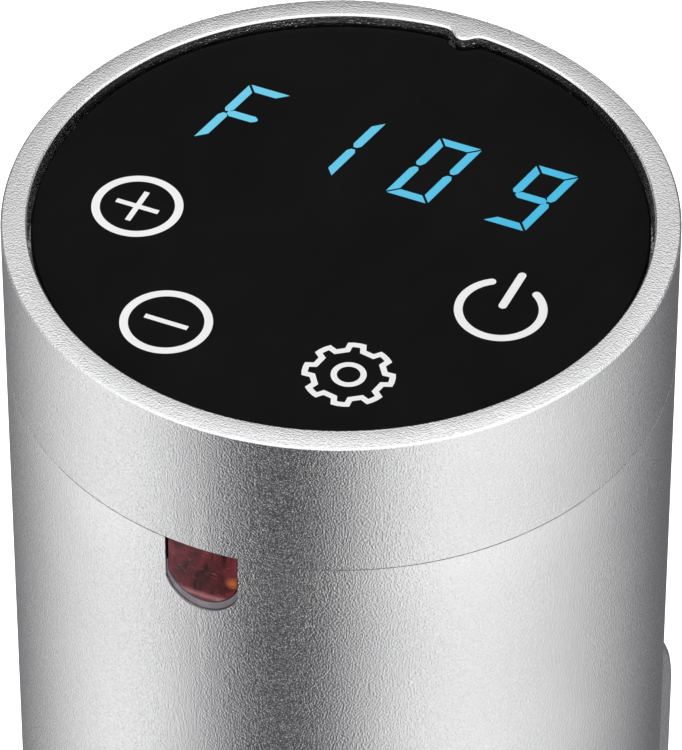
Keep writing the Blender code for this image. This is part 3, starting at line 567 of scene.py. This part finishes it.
def true_walls(mesh, radii):
    """Corner normals that point straight out wherever a face lies on one of the round walls."""
    normals = [Vector(corner.vector) for corner in mesh.corner_normals]
    for face in mesh.polygons:
        if abs(face.normal.z) > 0.02:
            continue
        corners = [mesh.vertices[v].co for v in face.vertices]
        for radius in radii:
            if all(abs(math.hypot(c.x, c.y) - radius * MM) < 0.00002 for c in corners):
                outward = 1 if face.normal.x * face.center.x + face.normal.y * face.center.y > 0 else -1
                for index, corner in zip(face.loop_indices, corners):
                    normals[index] = Vector((corner.x, corner.y, 0)).normalized() * outward
    mesh.normals_split_custom_set(normals)


# Head


def tab(angle, width):
    """How far the rim's rounded tab reaches in, at an angle around the shaft."""
    off = (angle - math.pi / 2) * 29.5
    return math.exp(-abs(off / width) ** 2.6)


def top_collar():
    seam = COLLAR_SEAM
    crown = 0.10
    outline = softened([
        (32.0, seam), (32.0, TOP - 0.18 - crown), (31.82, TOP - crown), (30.8, TOP - 0.035), (29.68, TOP),
        (29.5, TOP - 0.18), (29.5, 306.6), (27.6, 306.6), (27.6, 304.6), (28.4, 303.6), (28.4, 289.0),
        (29.6, 289.0), (29.6, seam),
    ], 0.05)

    def bend(radius, height, angle):
        if radius < 30.4 and height > 305.0:
            share = min(1.0, (30.4 - radius) / 0.5) if radius > 29.9 else 1.0
            if radius > 29.0:
                radius -= 1.1 * tab(angle, 1.15) * share
        return radius, height

    ring = lathe(outline, 720, bend=bend)
    room = slab([[(-5.6, 280), (5.6, 280), (5.6, seam + 0.3), (-5.6, seam + 0.3)]], 24, 31, "Y")
    ring = combined(ring, "DIFFERENCE", room)
    piece("collar_shell", ring, "collar", "head", ["top_collar"], walls=(32.0, 29.6))


def window_outline(width, top, bottom, radius, count=24):
    half = math.degrees(math.asin(width / 2 / radius))
    lower = arc((0, bottom + radius), radius, 270 - half, 270 + half, count)
    return [(-width / 2, top), *lower, (width / 2, top)]


def head_tube():
    low, high = 128.0, TUBE_TOP
    rows = [low + 0.35 + (high - low - 0.35) * i / 24 for i in range(25)]
    outline = [(30.0, high)] + [(32.0, z) for z in reversed(rows)] + [(31.94, low + 0.15), (31.8, low)]
    outline += [(30.0, low)] + [(30.0, z) for z in rows[1:-1]]
    tube = lathe(outline, 384)
    notch = slab([window_outline(7.4, high + 5, 286.9, 3.85)], 24, 36, "Y")
    gland = lathe([(0, 24), (5.3, 24), (5.3, 36), (0, 36)], 48, "Y", (0, 0, GLAND_LEVEL))
    tube = combined(tube, "DIFFERENCE", notch, gland)
    piece("head_shell", tube, "tube", "head", ["head_tube"], walls=(32.0, 30.0))


def glass_panel():
    outline = softened([(0, 308.9), (28.94, 308.9), (29.2, 308.64), (29.2, 306.9), (0, 306.9)], 0.06)
    outline = [(0, 308.9)] + [p for p in outline if p[0] > 0.1] + [(0, 306.9)]

    def bend(radius, height, angle):
        return (radius - 1.1 * tab(angle, 1.35) if radius > 28.0 else radius), height

    piece("cover_glass", lathe(outline, 720, bend=bend), "glass", "head", ["glass_panel"])


def status_window():
    top = 294.4
    plug = slab([window_outline(7.0, top, 287.9, 3.65)], 20, 40, "Y")
    plug = combined(plug, "INTERSECT", lathe([(28.2, 280), (31.7, 280), (31.7, 300), (28.2, 300)], 384))
    flange = slab([[(-5.2, 285.6), (5.2, 285.6), (5.2, top), (-5.2, top)]], 20, 40, "Y")
    flange = combined(flange, "INTERSECT", lathe([(28.2, 280), (29.7, 280), (29.7, 300), (28.2, 300)], 384))
    lens = combined(plug, "UNION", flange)
    replaced = ["status_window"]
    piece("status_lens", lens, "window", "head", replaced, bevel=0.16, segments=4, sharp=50)
    # A thin lining of the notch's cut face under the lens, coloured with a painted reflection of the lens.
    sill = slab([window_outline(7.3, 291.5, 286.95, 3.8)], 30, 40, "Y")
    above = slab([window_outline(7.16, 300, 287.76, 3.73)], 20, 42, "Y")
    face = lathe([(30.2, 280), (31.72, 280), (31.72, 300), (30.2, 300)], 384)
    sill = combined(sill, "DIFFERENCE", above)
    piece("window_sill", combined(sill, "INTERSECT", face), "sill", "head", sharp=50)


# Signs on the panel


def flat_sign(name, outlines, finish):
    """Outlines on the glass, as a print's thickness of light."""
    shape = slab(outlines, GLASS_TOP, GLASS_TOP + 0.03)
    piece(name, shape, finish, "head")


def ring_sign(centre, outer, stroke, start=0.0, end=360.0, count=96):
    """Quads along an arc, as outlines. An open arc gets round ends."""
    middle = outer - stroke / 2
    inner_points = arc(centre, outer - stroke, start, end, count)
    outer_points = arc(centre, outer, start, end, count)
    if end - start >= 360:
        return [
            [outer_points[i], outer_points[i + 1], inner_points[i + 1], inner_points[i]] for i in range(count)
        ]
    last = arc(arc(centre, middle, end, end, 1)[0], stroke / 2, end, end + 180, 10)
    first = arc(arc(centre, middle, start, start, 1)[0], stroke / 2, start + 180, start + 360, 10)
    return [outer_points + last[1:-1] + inner_points[::-1] + first[1:-1]]


def bar_sign(start, end, stroke, round_ends=False):
    a, b = Vector(start), Vector(end)
    along = (b - a).normalized()
    across = Vector((-along.y, along.x)) * stroke / 2
    if not round_ends:
        return [[tuple(a + across), tuple(a - across), tuple(b - across), tuple(b + across)]]
    angle = math.degrees(math.atan2(along.y, along.x))
    return [arc(a, stroke / 2, angle + 90, angle + 270, 10) + arc(b, stroke / 2, angle - 90, angle + 90, 10)]


def gear_sign(centre, tip, root, stroke, teeth=8, phase=13.0):
    outside = []
    for i in range(teeth):
        middle = phase + 360 * i / teeth
        crest = tip * 1.005
        flank = ((-16.0, root), (-11.5, tip), (-4.0, crest), (4.0, crest), (11.5, tip), (16.0, root))
        for offset, radius in flank:
            angle = math.radians(middle + offset)
            outside.append(Vector((radius * math.cos(angle), radius * math.sin(angle))))
    inside = []
    for i, here in enumerate(outside):
        before = (here - outside[i - 1]).normalized()
        after = (outside[(i + 1) % len(outside)] - here).normalized()
        inward = (Vector((-before.y, before.x)) + Vector((-after.y, after.x))).normalized()
        inside.append(here + inward * stroke / max(0.6, inward.dot(Vector((-after.y, after.x)))))
    middle = Vector(centre)
    count = len(outside)
    return [
        [tuple(p + middle) for p in (outside[i], outside[k], inside[k], inside[i])]
        for i, k in ((i, (i + 1) % count) for i in range(count))
    ]


def seven_segments(left, lit_segments):
    """A leaning digit's lit segments, each an outline with mitred or pointed ends."""
    width, height, stroke, lean = 4.32, 9.25, 0.88, 0.187
    base = 5.95 + 0.011 * left
    gap = 0.17
    half = stroke / 2
    middle = height / 2
    flat = 0.12
    w, h, t = width, height, stroke
    shapes = {
        "a": [(gap, h), (w - gap, h), (w - t - gap, h - t), (t + gap, h - t)],
        "d": [(gap, 0), (t + gap, t), (w - t - gap, t), (w - gap, 0)],
        "g": [
            (half + gap, middle - flat), (half + gap, middle + flat), (t + gap - 0.05, middle + half),
            (w - t - gap + 0.05, middle + half), (w - half - gap, middle + flat),
            (w - half - gap, middle - flat), (w - t - gap + 0.05, middle - half),
            (t + gap - 0.05, middle - half),
        ],
        "f": [(0, h - gap), (t, h - t - gap), (t, middle + half + gap), (half + flat * 1.6, middle + gap),
              (half - flat * 1.6, middle + gap), (0, middle + half + gap - 0.1)],
        "e": [
            (0, gap), (0, middle - half - gap), (half - flat * 1.6, middle - gap),
            (half + flat * 1.6, middle - gap), (t, middle - half - gap + 0.1), (t, t + gap),
        ],
    }
    shapes["b"] = [(w - x, y) for x, y in shapes["f"]]
    shapes["c"] = [(w - x, y) for x, y in shapes["e"]]
    return [[(left + x + lean * y, base + y) for x, y in shapes[s]] for s in lit_segments]


def panel_signs():
    pitch, first = 9.94, -17.97
    for number, segments in enumerate(("aefg", "bc", "abcdef", "abcdfg")):
        flat_sign(f"readout_digit_{number + 1}", seven_segments(first + pitch * number, segments), "digits")
    outer, stroke, thin = 4.35, 0.80, 0.54
    half = 2.18
    x, y = -18.59, -5.46
    plus = ring_sign((x, y), outer, stroke) + bar_sign((x - half, y), (x + half, y), thin)
    plus += bar_sign((x, y + thin / 2), (x, y + half), thin)
    plus += bar_sign((x, y - half), (x, y - thin / 2), thin)
    flat_sign("sign_plus", plus, "signs")
    x, y = -9.23, -19.09
    minus = ring_sign((x, y), outer, stroke) + bar_sign((x - half, y), (x + half, y), thin)
    flat_sign("sign_minus", minus, "signs")
    middle = (9.14, -18.8)
    gear = gear_sign(middle, 4.34, 3.6, 0.57) + ring_sign(middle, 1.66, 0.57, count=48)
    flat_sign("sign_settings", gear, "signs")
    power = ring_sign((18.41, -4.91), outer, 0.81, 125.0, 415.0)
    power += bar_sign((18.39, 0.25), (18.38, -4.34), 0.80, True)
    flat_sign("sign_power", power, "signs")


# Clamp


def hook_outline():
    """The hook from the side: plate, bridge with a round shoulder, and rear leg."""
    return [
        (28.0, 131.0), (28.0, 208.7), *arc((50.7, 195.4), 13.3, 90, 0, 28),
        *arc((61.0, 132.5), 3.0, 0, -180, 16), *arc((54.0, 197.4), 4.0, 0, 90, 10),
        *arc((40.3, 197.4), 4.0, 90, 180, 10), (36.3, 131.0),
    ]


def rounded_solid(shape, width, segments=4, sharp=35):
    """A shape with its edges rounded, as a new shape."""
    mesh = bpy.data.meshes.new("held")
    shape.to_mesh(mesh)
    shape.free()
    made = bpy.data.objects.new("held", mesh)
    scene.collection.objects.link(made)
    edge = made.modifiers.new("rounded_edges", "BEVEL")
    edge.width = width
    edge.segments = segments
    edge.limit_method = "ANGLE"
    edge.angle_limit = math.radians(sharp)
    result = bmesh.new()
    result.from_mesh(made.evaluated_get(bpy.context.evaluated_depsgraph_get()).data)
    bpy.data.objects.remove(made)
    bpy.data.meshes.remove(mesh)
    return result


def clamp():
    at = (0, 0, CLAMP_LEVEL)
    hook = rounded_solid(slab([hook_outline()], -11.9, 11.9, "X"), 1.6, 5)
    room = lathe([(0, 126), (32.3, 126), (32.3, 214), (0, 214)], 384)
    turned = softened([(0, 60.5), (8.5, 60.5), (8.5, 66.5), (0, 66.5)], 0.6, 4)[4:-4]
    boss = lathe([(0, 60.5)] + turned + [(0, 66.5)], 96, "Y", at)
    bore = lathe([(0, 50), (4.35, 50), (4.35, 75), (0, 75)], 64, "Y", at)
    hook = combined(combined(hook, "DIFFERENCE", room), "UNION", boss)
    hook = combined(hook, "DIFFERENCE", bore)
    slot, replaced = "anodised_aluminium", ["clamp_hook"]
    piece("hook_bracket", hook, "tube", "head", replaced, bevel=0.12, segments=2, sharp=40)

    levels = [135.5 + 4.0 * i for i in range(14)]
    pad = [(36.6, 133.0), (36.6, 191.7), (38.6, 191.7)]
    for z in reversed(levels):
        pad += [(38.6, z + 0.7), (38.1, z + 0.35), (38.1, z - 0.35), (38.6, z - 0.7)]
    pad += [(38.6, 133.0)]
    pad = slab([pad], -9.6, 9.6, "X")
    piece("fixed_jaw_pad", pad, "rubber", "head", ["jaw_pad"], bevel=0.25)

    shoe = [(0, 55.6), (3.5, 55.6), (3.5, 57.6), (8.6, 57.6), (9.0, 57.2), (9.0, 54.9), (0, 54.9)]
    shoe = softened(shoe, 0.15)
    shoe = [p if p[0] > 0.2 else (0, p[1]) for p in shoe]
    piece("pressure_disc", lathe(shoe, 96, "Y", at), "steel", "shoe", ["pressure_shoe"])
    face = [(0, 52.9)]
    for radius in (1.6, 3.4, 5.2, 7.0):
        face += [(radius - 0.45, 52.9), (radius - 0.3, 52.6), (radius + 0.3, 52.6), (radius + 0.45, 52.9)]
    face += [(7.9, 52.9), (8.6, 53.4), (8.6, 54.6), (0, 54.6)]
    piece("pressure_disc_pad", lathe(face, 96, "Y", at), "rubber", "shoe", ["pressure_pad"])

    body = "clamp_screw"
    thread, knob = threaded_rod(CLAMP_LEVEL), knob_shape(CLAMP_LEVEL)
    piece("clamp_thread", thread, "steel", body, ["clamp_screw"], sharp=50)
    piece("knob", knob, "black", body, ["clamp_knob"], bevel=0.35, sharp=40)

    hole = [(3.5, 34.7), (7.0, 34.7), (8.0, 33.5), (8.0, 32.3), (5.0, 32.3), (5.0, 24.6), (3.5, 24.6)]
    bush = lathe(softened(hole, 0.35, 4), 96, "Y", (0, 0, GLAND_LEVEL))
    piece("cord_bush", bush, "black", "head", ["cord_gland"])


def threaded_rod(level):
    """A round bar with a rolled single-start thread, a plain neck and a domed end."""
    crest, root, lead, steps = 4.0, 3.35, 3.0, 48
    start, end = 58.6, 81.0
    shape = bmesh.new()

    def ring(along, radius_at):
        made = []
        for k in range(steps):
            angle = math.tau * k / steps
            radius = radius_at(k)
            made.append(shape.verts.new((radius * math.cos(angle), along, level + radius * math.sin(angle))))
        return made

    rings = [ring(along, lambda k: radius) for radius, along in ((2.9, 55.9), (3.1, 56.1), (3.1, 58.0))]
    length = end - start
    rows = int(length / lead * 24)
    for i in range(rows + 1):
        along = start + length * i / rows
        fade = min(1.0, (along - start) / 1.5, (end - along) / 1.5 + 0.3)

        def thread(k):
            phase = (along / lead - k / steps) % 1.0
            wave = 0.5 + 0.5 * math.tanh(2.2 * math.cos(math.tau * phase)) / math.tanh(2.2)
            return root + (crest - root) * wave * fade

        rings.append(ring(along, thread))
    rings += [ring(along, lambda k: radius) for radius, along in ((3.9, 81.4), (3.9, 88.2), (3.4, 88.7))]
    for first, second in zip(rings, rings[1:]):
        for k in range(steps):
            j = (k + 1) % steps
            shape.faces.new((first[k], first[j], second[j], second[k]))
    shape.faces.new(rings[0])
    shape.faces.new(rings[-1])
    bmesh.ops.recalc_face_normals(shape, faces=shape.faces)
    return shape


def knob_shape(level):
    """A lobed knob with a dished outer face and a collar towards the head."""
    rows = (
        (4.3, 80.3, 0.0), (8.2, 80.3, 0.0), (8.6, 80.7, 0.0), (9.0, 82.2, 0.15), (10.6, 82.9, 0.8),
        (11.3, 83.6, 1.0), (11.5, 84.6, 1.0), (11.5, 89.6, 1.0), (11.2, 90.7, 1.0), (10.4, 91.3, 0.9),
        (8.8, 91.3, 0.4), (8.2, 91.0, 0.0), (7.6, 90.5, 0.0), (0.0, 90.3, 0.0), (0.0, 89.0, 0.0),
        (4.3, 89.0, 0.0),
    )
    lobes = {(radius, along): share for radius, along, share in rows}

    def bend(radius, height, angle):
        wave = math.cos(8 * angle)
        return radius + 0.8 * lobes[(radius, height)] * wave, height

    return lathe([(radius, along) for radius, along, _ in rows], 192, "Y", (0, 0, level), bend)


# Lower end


def base_ring():
    turns = [math.pi / 2 * i / 12 for i in range(13)]
    curve = [(28.2 + 3.5 * math.cos(a), 125.0 - 6.0 * math.sin(a)) for a in turns]
    outline = [(29.9, 127.7), (31.5, 127.7), (31.7, 127.5), *curve]
    outline += [(26.4, 119.0), (26.4, 124.5), (29.9, 124.5)]
    piece("transition_ring", lathe(outline, 256), "black", "head", ["base_ring"])


def stadium(u, low, high, width, count=12):
    half = width / 2
    return arc((u, high - half), half, 0, 180, count) + arc((u, low + half), half, 180, 360, count)


def sector(inner, outer, start, end, count):
    return arc((0, 0), outer, start, end, count) + arc((0, 0), inner, end, start, count)


def sleeve():
    rows = [12.3 + (123.4 - 12.3) * i / 20 for i in range(21)]
    outline = [(25.2, 123.7), (25.85, 123.7)] + [(26.0, z) for z in reversed(rows)]
    outline += [(25.85, 12.0), (25.2, 12.0)] + [(25.2, z) for z in rows]
    tube = lathe(outline, 300)
    slots = repeated(slab([stadium(0, 34, 80, 3.0)], 22, 28, "Y"), 10)
    runs = repeated(slab([sector(23, 28, -5.2, 30.2, 24)], 15.4, 18.6), 3)
    entries = repeated(slab([sector(23, 28, 19.8, 30.2, 8)], 10, 18.2), 3)
    tube = combined(tube, "DIFFERENCE", slots, runs, entries)
    piece("steel_sleeve", tube, "sleeve", "sleeve", ["sleeve"], walls=(26.0, 25.2))


def bottom_cap():
    edge = arc((25.0, 2.0), 1.0, 0, -90, 8)
    outline = [
        (0, 7.2), (10.1, 7.2), (10.5, 6.8), (10.5, 5.0), (22.9, 5.0), (22.9, 22.0), (23.3, 22.2),
        (24.6, 22.2),
        (24.9, 21.9), (24.9, 11.7), (25.7, 11.7), (26.0, 11.4), *edge, (24.4, 1.0), (24.2, 1.2), (24.2, 2.5),
        (8.3, 2.5), (8.3, 5.7), (0, 5.7),
    ]
    cap = lathe(outline, 240)
    outlet = softened([(-6.5, 6.2), (6.5, 6.2), (6.5, 9.6), (-6.5, 9.6)], 1.2, 6)
    outlets = repeated(slab([outlet], -30, -20, "Y"), 8, 90.0)
    cap = combined(cap, "DIFFERENCE", outlets)
    lugs = repeated(slab([sector(24.5, 25.85, -4.4, 4.4, 6)], 15.7, 18.3), 3)
    cap = combined(cap, "UNION", lugs)
    piece("twist_cap", cap, "black", "cap", ["bottom_cap"], sharp=40)
    foot = [(0, 2.2), (23.8, 2.2), (23.9, 2.1), (23.9, 0.5), (23.4, 0.0), (20.9, 0.0), (20.5, 0.4)]
    foot += [(18.9, 0.4), (18.5, 0.0), (14.9, 0.0), (14.5, 0.4), (12.9, 0.4), (12.5, 0.0), (0, 0.0)]
    piece("foot_disc", lathe(foot, 160), "rubber", "cap", ["foot_pad"])
    magnet = [(0, 5.4), (7.7, 5.4), (8.0, 5.1), (8.0, 3.1), (7.7, 2.8), (0, 2.8)]
    piece("magnet_disc", lathe(magnet, 96), "magnet", "cap", ["base_magnet"])


def heater_path():
    """Down one leg, round the coil, in to a smaller radius, and up the return leg inside the coil."""
    radius_out, radius_in, top, pitch, bend, spiral, floor = 18.5, 11.0, 73.0, 9.0, 6.0, 150.0, 131.0
    entry, leave = math.degrees(bend / radius_out), math.degrees(bend / radius_in)
    coil = 360.0 * 4 + 180.0 - spiral - entry - leave
    bottom = top - pitch * coil / 360
    path = [(radius_out, 0.0, floor - (floor - top - bend) * i / 12) for i in range(12)]

    def step(radius, degrees, height):
        turn = math.radians(degrees)
        path.append((radius * math.cos(turn), radius * math.sin(turn), height))

    bend_steps, coil_steps, spiral_steps = 12, 240, 32
    for i in range(bend_steps):
        turn = math.pi / 2 * i / bend_steps
        step(radius_out, entry * (1 - math.cos(turn)), top + bend * (1 - math.sin(turn)))
    for i in range(coil_steps):
        part = i / coil_steps
        step(radius_out, entry + coil * part, top - pitch * coil / 360 * part)
    drop = pitch * spiral / 360
    for i in range(spiral_steps):
        part = i / spiral_steps
        ease = part * part * (3 - 2 * part)
        radius = radius_out + (radius_in - radius_out) * ease
        step(radius, entry + coil + spiral * part, bottom - drop * (part - part * part / 2))
    lowest = bottom - drop / 2
    for i in range(bend_steps + 1):
        turn = math.pi / 2 * i / bend_steps
        step(radius_in, 180.0 - leave * (1 - math.sin(turn)), lowest + bend * (1 - math.cos(turn)))
    path += [(-radius_in, 0.0, lowest + bend + (floor - lowest - bend) * i / 16) for i in range(1, 17)]
    return path


def water_end():
    piece("heater_tube", swept(heater_path(), 3.2, 32), "heater", "head", ["heater_coil"])
    tip = [(0, 30.0), (0.9, 30.15), (1.4, 30.7), (1.6, 31.5), (1.6, 131.0), (0, 131.0)]
    probe = lathe(tip, 48, at=(0, -10, 0))
    piece("probe_sheath", probe, "steel", "head", ["temperature_probe"])
    for name, x, low in (("low", 6.4, 80.0), ("high", -6.4, 97.0)):
        pin = [(0, low), (0.8, low + 0.1), (1.2, low + 0.6), (1.2, 131.0), (0, 131.0)]
        made = lathe(pin, 32, at=(x, 7.7, 0))
        piece(f"level_pin_{name}", made, "steel", "head", [f"level_electrode_{name}"])
    shaft = [(0, 176.0), (1.7, 176.0), (2.0, 175.6), (2.0, 9.7), (1.7, 9.3), (0, 9.3)]
    piece("pump_shaft", lathe(shaft, 48), "steel", "rotor", ["drive_shaft"])

    hub = [(2.3, 25.0), (4.3, 25.0), (4.6, 24.7), (4.6, 22.8), (12.6, 22.8), (12.8, 22.6), (12.8, 21.6)]
    hub += [(12.6, 21.4), (4.6, 21.4), (4.6, 12.8), (4.3, 12.5), (2.3, 12.5)]
    blades = repeated(pump_blade(), 6)
    wheel = combined(lathe(hub, 96), "UNION", blades)
    replaced = ["impeller"]
    piece("pump_wheel", wheel, "pump", "rotor", replaced, bevel=0.2, segments=2, sharp=45)
    nut = slab([polygon(6, 4.0)], 9.5, 12.2)
    chamfer = lathe([(0, 9.5), (3.4, 9.5), (4.0, 9.9), (4.0, 11.8), (3.4, 12.2), (0, 12.2)], 64)
    nut = combined(nut, "INTERSECT", chamfer)
    nut = combined(nut, "DIFFERENCE", lathe([(0, 8), (2.3, 8), (2.3, 14), (0, 14)], 48))
    piece("shaft_nut", nut, "steel", "rotor", ["impeller_nut"], bevel=0.1, segments=2)


def pump_blade():
    """A blade from the hub to the rim that leans back on a curve."""
    steps = 10
    middle = Vector((7.9, -1.0))
    lean = math.radians(-20)
    centre = []
    for i in range(steps + 1):
        u = -4.8 + 9.6 * i / steps
        sag = -0.35 * (1 - (u / 4.8) ** 2)
        centre.append(Vector((u, sag)))
    turn = Matrix.Rotation(lean, 2)
    upper = [middle + turn @ (c + Vector((0, 0.55))) for c in centre]
    lower = [middle + turn @ (c - Vector((0, 0.55))) for c in reversed(centre)]
    return slab([[tuple(p) for p in upper + lower]], 12.8, 22.0)


def seal_plate():
    spigot, groove, head = 24.8, 23.2, 29.6
    outline = [
        (head - 0.2, 135.0), (head, 134.8), (head, 134.0), (27.4, 134.0), (27.4, 131.8), (head, 131.8),
        (head, 125.2), (head - 0.2, 125.0), (spigot, 125.0), (spigot, 119.0), (groove, 119.0),
        (groove, 117.0), (spigot, 117.0), (spigot, 112.3), (spigot - 0.3, 112.0), (22.3, 112.0),
        (22.0, 112.3), (22.0, 125.0), (2.6, 125.0), (2.6, 127.0),
        (6.0, 127.0), (6.0, 131.0), (26.0, 131.0), (26.0, 135.0),
    ]
    plate = lathe(outline, 160)
    holes = [
        lathe([(0, 120), (radius, 120), (radius, 134), (0, 134)], 48, at=(x, y, 0))
        for x, y, radius in ((18.5, 0, 3.5), (-11, 0, 3.5), (0, -10, 2.0), (6.4, 7.7, 2.0), (-6.4, 7.7, 2.0))
    ]
    plate = combined(plate, "DIFFERENCE", merged(*holes))
    piece("bulkhead", plate, "pump", "head", ["seal_plate"], sharp=40)
    for name, radius, section, level in (("head", 28.5, 0.8, 132.9), ("sleeve", 24.2, 0.75, 118.0)):
        ring = arc((radius, level), section, 0, 337.5, 15)
        piece(f"{name}_o_ring", lathe(ring, 160), "rubber", "head", [f"{name}_seal_ring"])


# Pieces that keep their CAD shape


def softening():
    """Welds and smooths a CAD mesh ahead of its bevel."""
    group = bpy.data.node_groups.new("softening", "GeometryNodeTree")
    group.interface.new_socket("Geometry", in_out="INPUT", socket_type="NodeSocketGeometry")
    group.interface.new_socket("Geometry", in_out="OUTPUT", socket_type="NodeSocketGeometry")
    start = group.nodes.new("NodeGroupInput")
    weld = group.nodes.new("GeometryNodeMergeByDistance")
    weld.inputs["Distance"].default_value = 0.000001
    smooth = group.nodes.new("GeometryNodeSetShadeSmooth")
    end = group.nodes.new("NodeGroupOutput")
    group.links.new(start.outputs[0], weld.inputs[0])
    group.links.new(weld.outputs[0], smooth.inputs[0])
    group.links.new(smooth.outputs[0], end.inputs[0])
    return group


def dress_frame():
    """Gives every CAD node that stays its finish, and edges that catch the light."""
    group = softening()
    slots = {row["node"]: row["material_slot"] for row in frame["record"]["subparts"]}
    for node, shown in frame["nodes"].items():
        if shown.hide_render:
            continue
        finish = FINISH[SLOT_FINISH[slots[node]]]
        if not shown.material_slots:
            shown.data.materials.append(finish)
        for held in shown.material_slots:
            held.link = "OBJECT"
            held.material = finish
        shown.modifiers.new("softening", "NODES").node_group = group
        edge = shown.modifiers.new("rounded_edges", "BEVEL")
        edge.width = 0.12 * MM
        edge.segments = 2
        edge.limit_method = "ANGLE"
        edge.angle_limit = math.radians(35)
        shown.modifiers.new("flat_faces", "WEIGHTED_NORMAL").weight = 80


# Studio


def studio_light():
    """A world that stands for a studio: white cards to the left and right, dark between them and behind,
    and a soft white ceiling."""
    world = bpy.data.worlds.new("studio")
    scene.world = world
    world.use_nodes = True
    tree = world.node_tree
    tree.nodes.clear()
    x, y, z = add(tree, "SeparateXYZ", {0: add(tree, "TexCoord").outputs["Generated"]}).outputs
    turn = math_node(tree, "ARCTAN2", x, math_node(tree, "MULTIPLY", y, -1.0))
    turn = math_node(tree, "SUBTRACT", turn, math.radians(CAMERA_AZIMUTH))
    around = math_node(tree, "FRACT", math_node(tree, "ADD", math_node(tree, "DIVIDE", turn, math.tau), 0.5))
    cards = (
        (-180, 0.12), (-150, 0.20), (-130, 0.43), (-112, 0.74), (-95, 0.97), (-80, 1.00), (-70, 0.98),
        (-58, 0.76), (-46, 0.30), (-35, 0.09), (-22, 0.030), (-10, 0.060), (0, 0.26), (9, 0.55),
        (18, 0.83), (28, 0.97), (42, 1.00), (56, 0.95), (70, 0.87), (90, 0.70), (108, 0.48),
        (125, 0.24), (142, 0.14), (180, 0.12),
    )
    warm, cool = (1.0, 1.0, 1.0), (0.985, 0.985, 1.02)
    stops = [
        ((degrees + 180) / 360, tuple(level * c for c in (warm if level > 0.4 else cool)))
        for degrees, level in cards
    ]
    low = ramp(tree, around, *stops)
    facing = math.radians(CAMERA_AZIMUTH)
    key = Vector((math.sin(facing) * 0.5, -math.cos(facing) * 0.5, math.sqrt(0.75)))
    sky = add(tree, "TexCoord").outputs["Generated"]
    toward = add(tree, "VectorMath", {0: sky, 1: key}, operation="DOT_PRODUCT").outputs["Value"]
    levels = ((0.2, 0.14), (0.34, 0.34), (0.44, 0.66), (0.50, 1.02), (0.8, 1.25))
    high = ramp(tree, span(tree, toward, -0.5, 1.0), *((place, (level,) * 3) for place, level in levels))
    colour = mixed(tree, span(tree, z, -0.15, 0.15), low, high)
    light = add(tree, "Background", {"Color": colour, "Strength": 1.0})
    add(tree, "OutputWorld", {"Surface": light.outputs[0]})


def stage_piece(name, shape, colour, glow):
    made, tree = new_material(name)
    patch = noise(tree, own_coordinates(tree), 3.0, 2.0, 0.5)
    tone = ramp(tree, patch, (0.3, tuple(c * 0.985 for c in colour)), (0.7, colour))
    diffuse = add(tree, "BsdfDiffuse", {"Color": tone})
    light = add(tree, "Emission", {"Color": tone, "Strength": glow})
    both = add(tree, "AddShader", {0: diffuse.outputs[0], 1: light.outputs[0]})
    add(tree, "OutputMaterial", {"Surface": both.outputs[0]})
    mesh = bpy.data.meshes.new(name)
    shape.to_mesh(mesh)
    shape.free()
    mesh.shade_smooth()
    mesh.materials.append(made)
    held = bpy.data.objects.new(name, mesh)
    scene.collection.objects.link(held)
    held.visible_glossy = False
    held.visible_shadow = False


def studio():
    studio_light()
    reach, rise, cove = 14.0, 9.0, 3.0
    corner = arc((reach - cove, cove), cove, 270, 360, 16)
    profile = [(0.0, 0.0), (1.0, 0.0), (4.0, 0.0), *corner, (reach, rise)]
    shape = bmesh.new()
    steps = 96
    rings = []
    for i in range(steps):
        angle = math.tau * i / steps
        rings.append([shape.verts.new((r * math.cos(angle), r * math.sin(angle), z)) for r, z in profile])
    for i, ring in enumerate(rings):
        beside = rings[(i + 1) % steps]
        for j in range(len(profile) - 1):
            shape.faces.new((ring[j], beside[j], beside[j + 1], ring[j + 1]))
    bmesh.ops.remove_doubles(shape, verts=shape.verts, dist=1e-5)
    bmesh.ops.recalc_face_normals(shape, faces=shape.faces)
    bmesh.ops.reverse_faces(shape, faces=shape.faces)
    stage_piece("studio_floor", shape, (0.93, 0.93, 0.93), 0.45)

    lamp = bpy.data.lights.new("overhead_softbox", "AREA")
    lamp.shape = "DISK"
    lamp.size = 1.2
    lamp.energy = 6.0
    held = bpy.data.objects.new("overhead_softbox", lamp)
    scene.collection.objects.link(held)
    held.location = (-0.5, -0.4, 1.6)
    held.rotation_euler = (Vector((0, 0, 0.15)) - held.location).to_track_quat("-Z", "Y").to_euler()
    held.visible_glossy = False

    azimuth, elevation, distance = math.radians(CAMERA_AZIMUTH), math.radians(41.317), 0.67402
    level = math.cos(elevation)
    away = Vector((math.sin(azimuth) * level, -math.cos(azimuth) * level, math.sin(elevation)))
    camera = bpy.data.cameras.new("camera")
    camera.lens = 344.33
    camera.sensor_width = 36.0
    camera.clip_start = 0.01
    camera.clip_end = 60.0
    viewer = bpy.data.objects.new("camera", camera)
    scene.collection.objects.link(viewer)
    rim = Vector((0, 0, TOP * MM))
    viewer.location = rim + away * distance
    aim = rim - Vector((0, 0, 0.020354))
    viewer.rotation_euler = (aim - viewer.location).to_track_quat("-Z", "Y").to_euler()
    scene.camera = viewer
    scene.view_settings.view_transform = "Standard"


top_collar()
head_tube()
glass_panel()
status_window()
panel_signs()
clamp()
base_ring()
sleeve()
bottom_cap()
water_end()
seal_plate()
dress_frame()
studio()
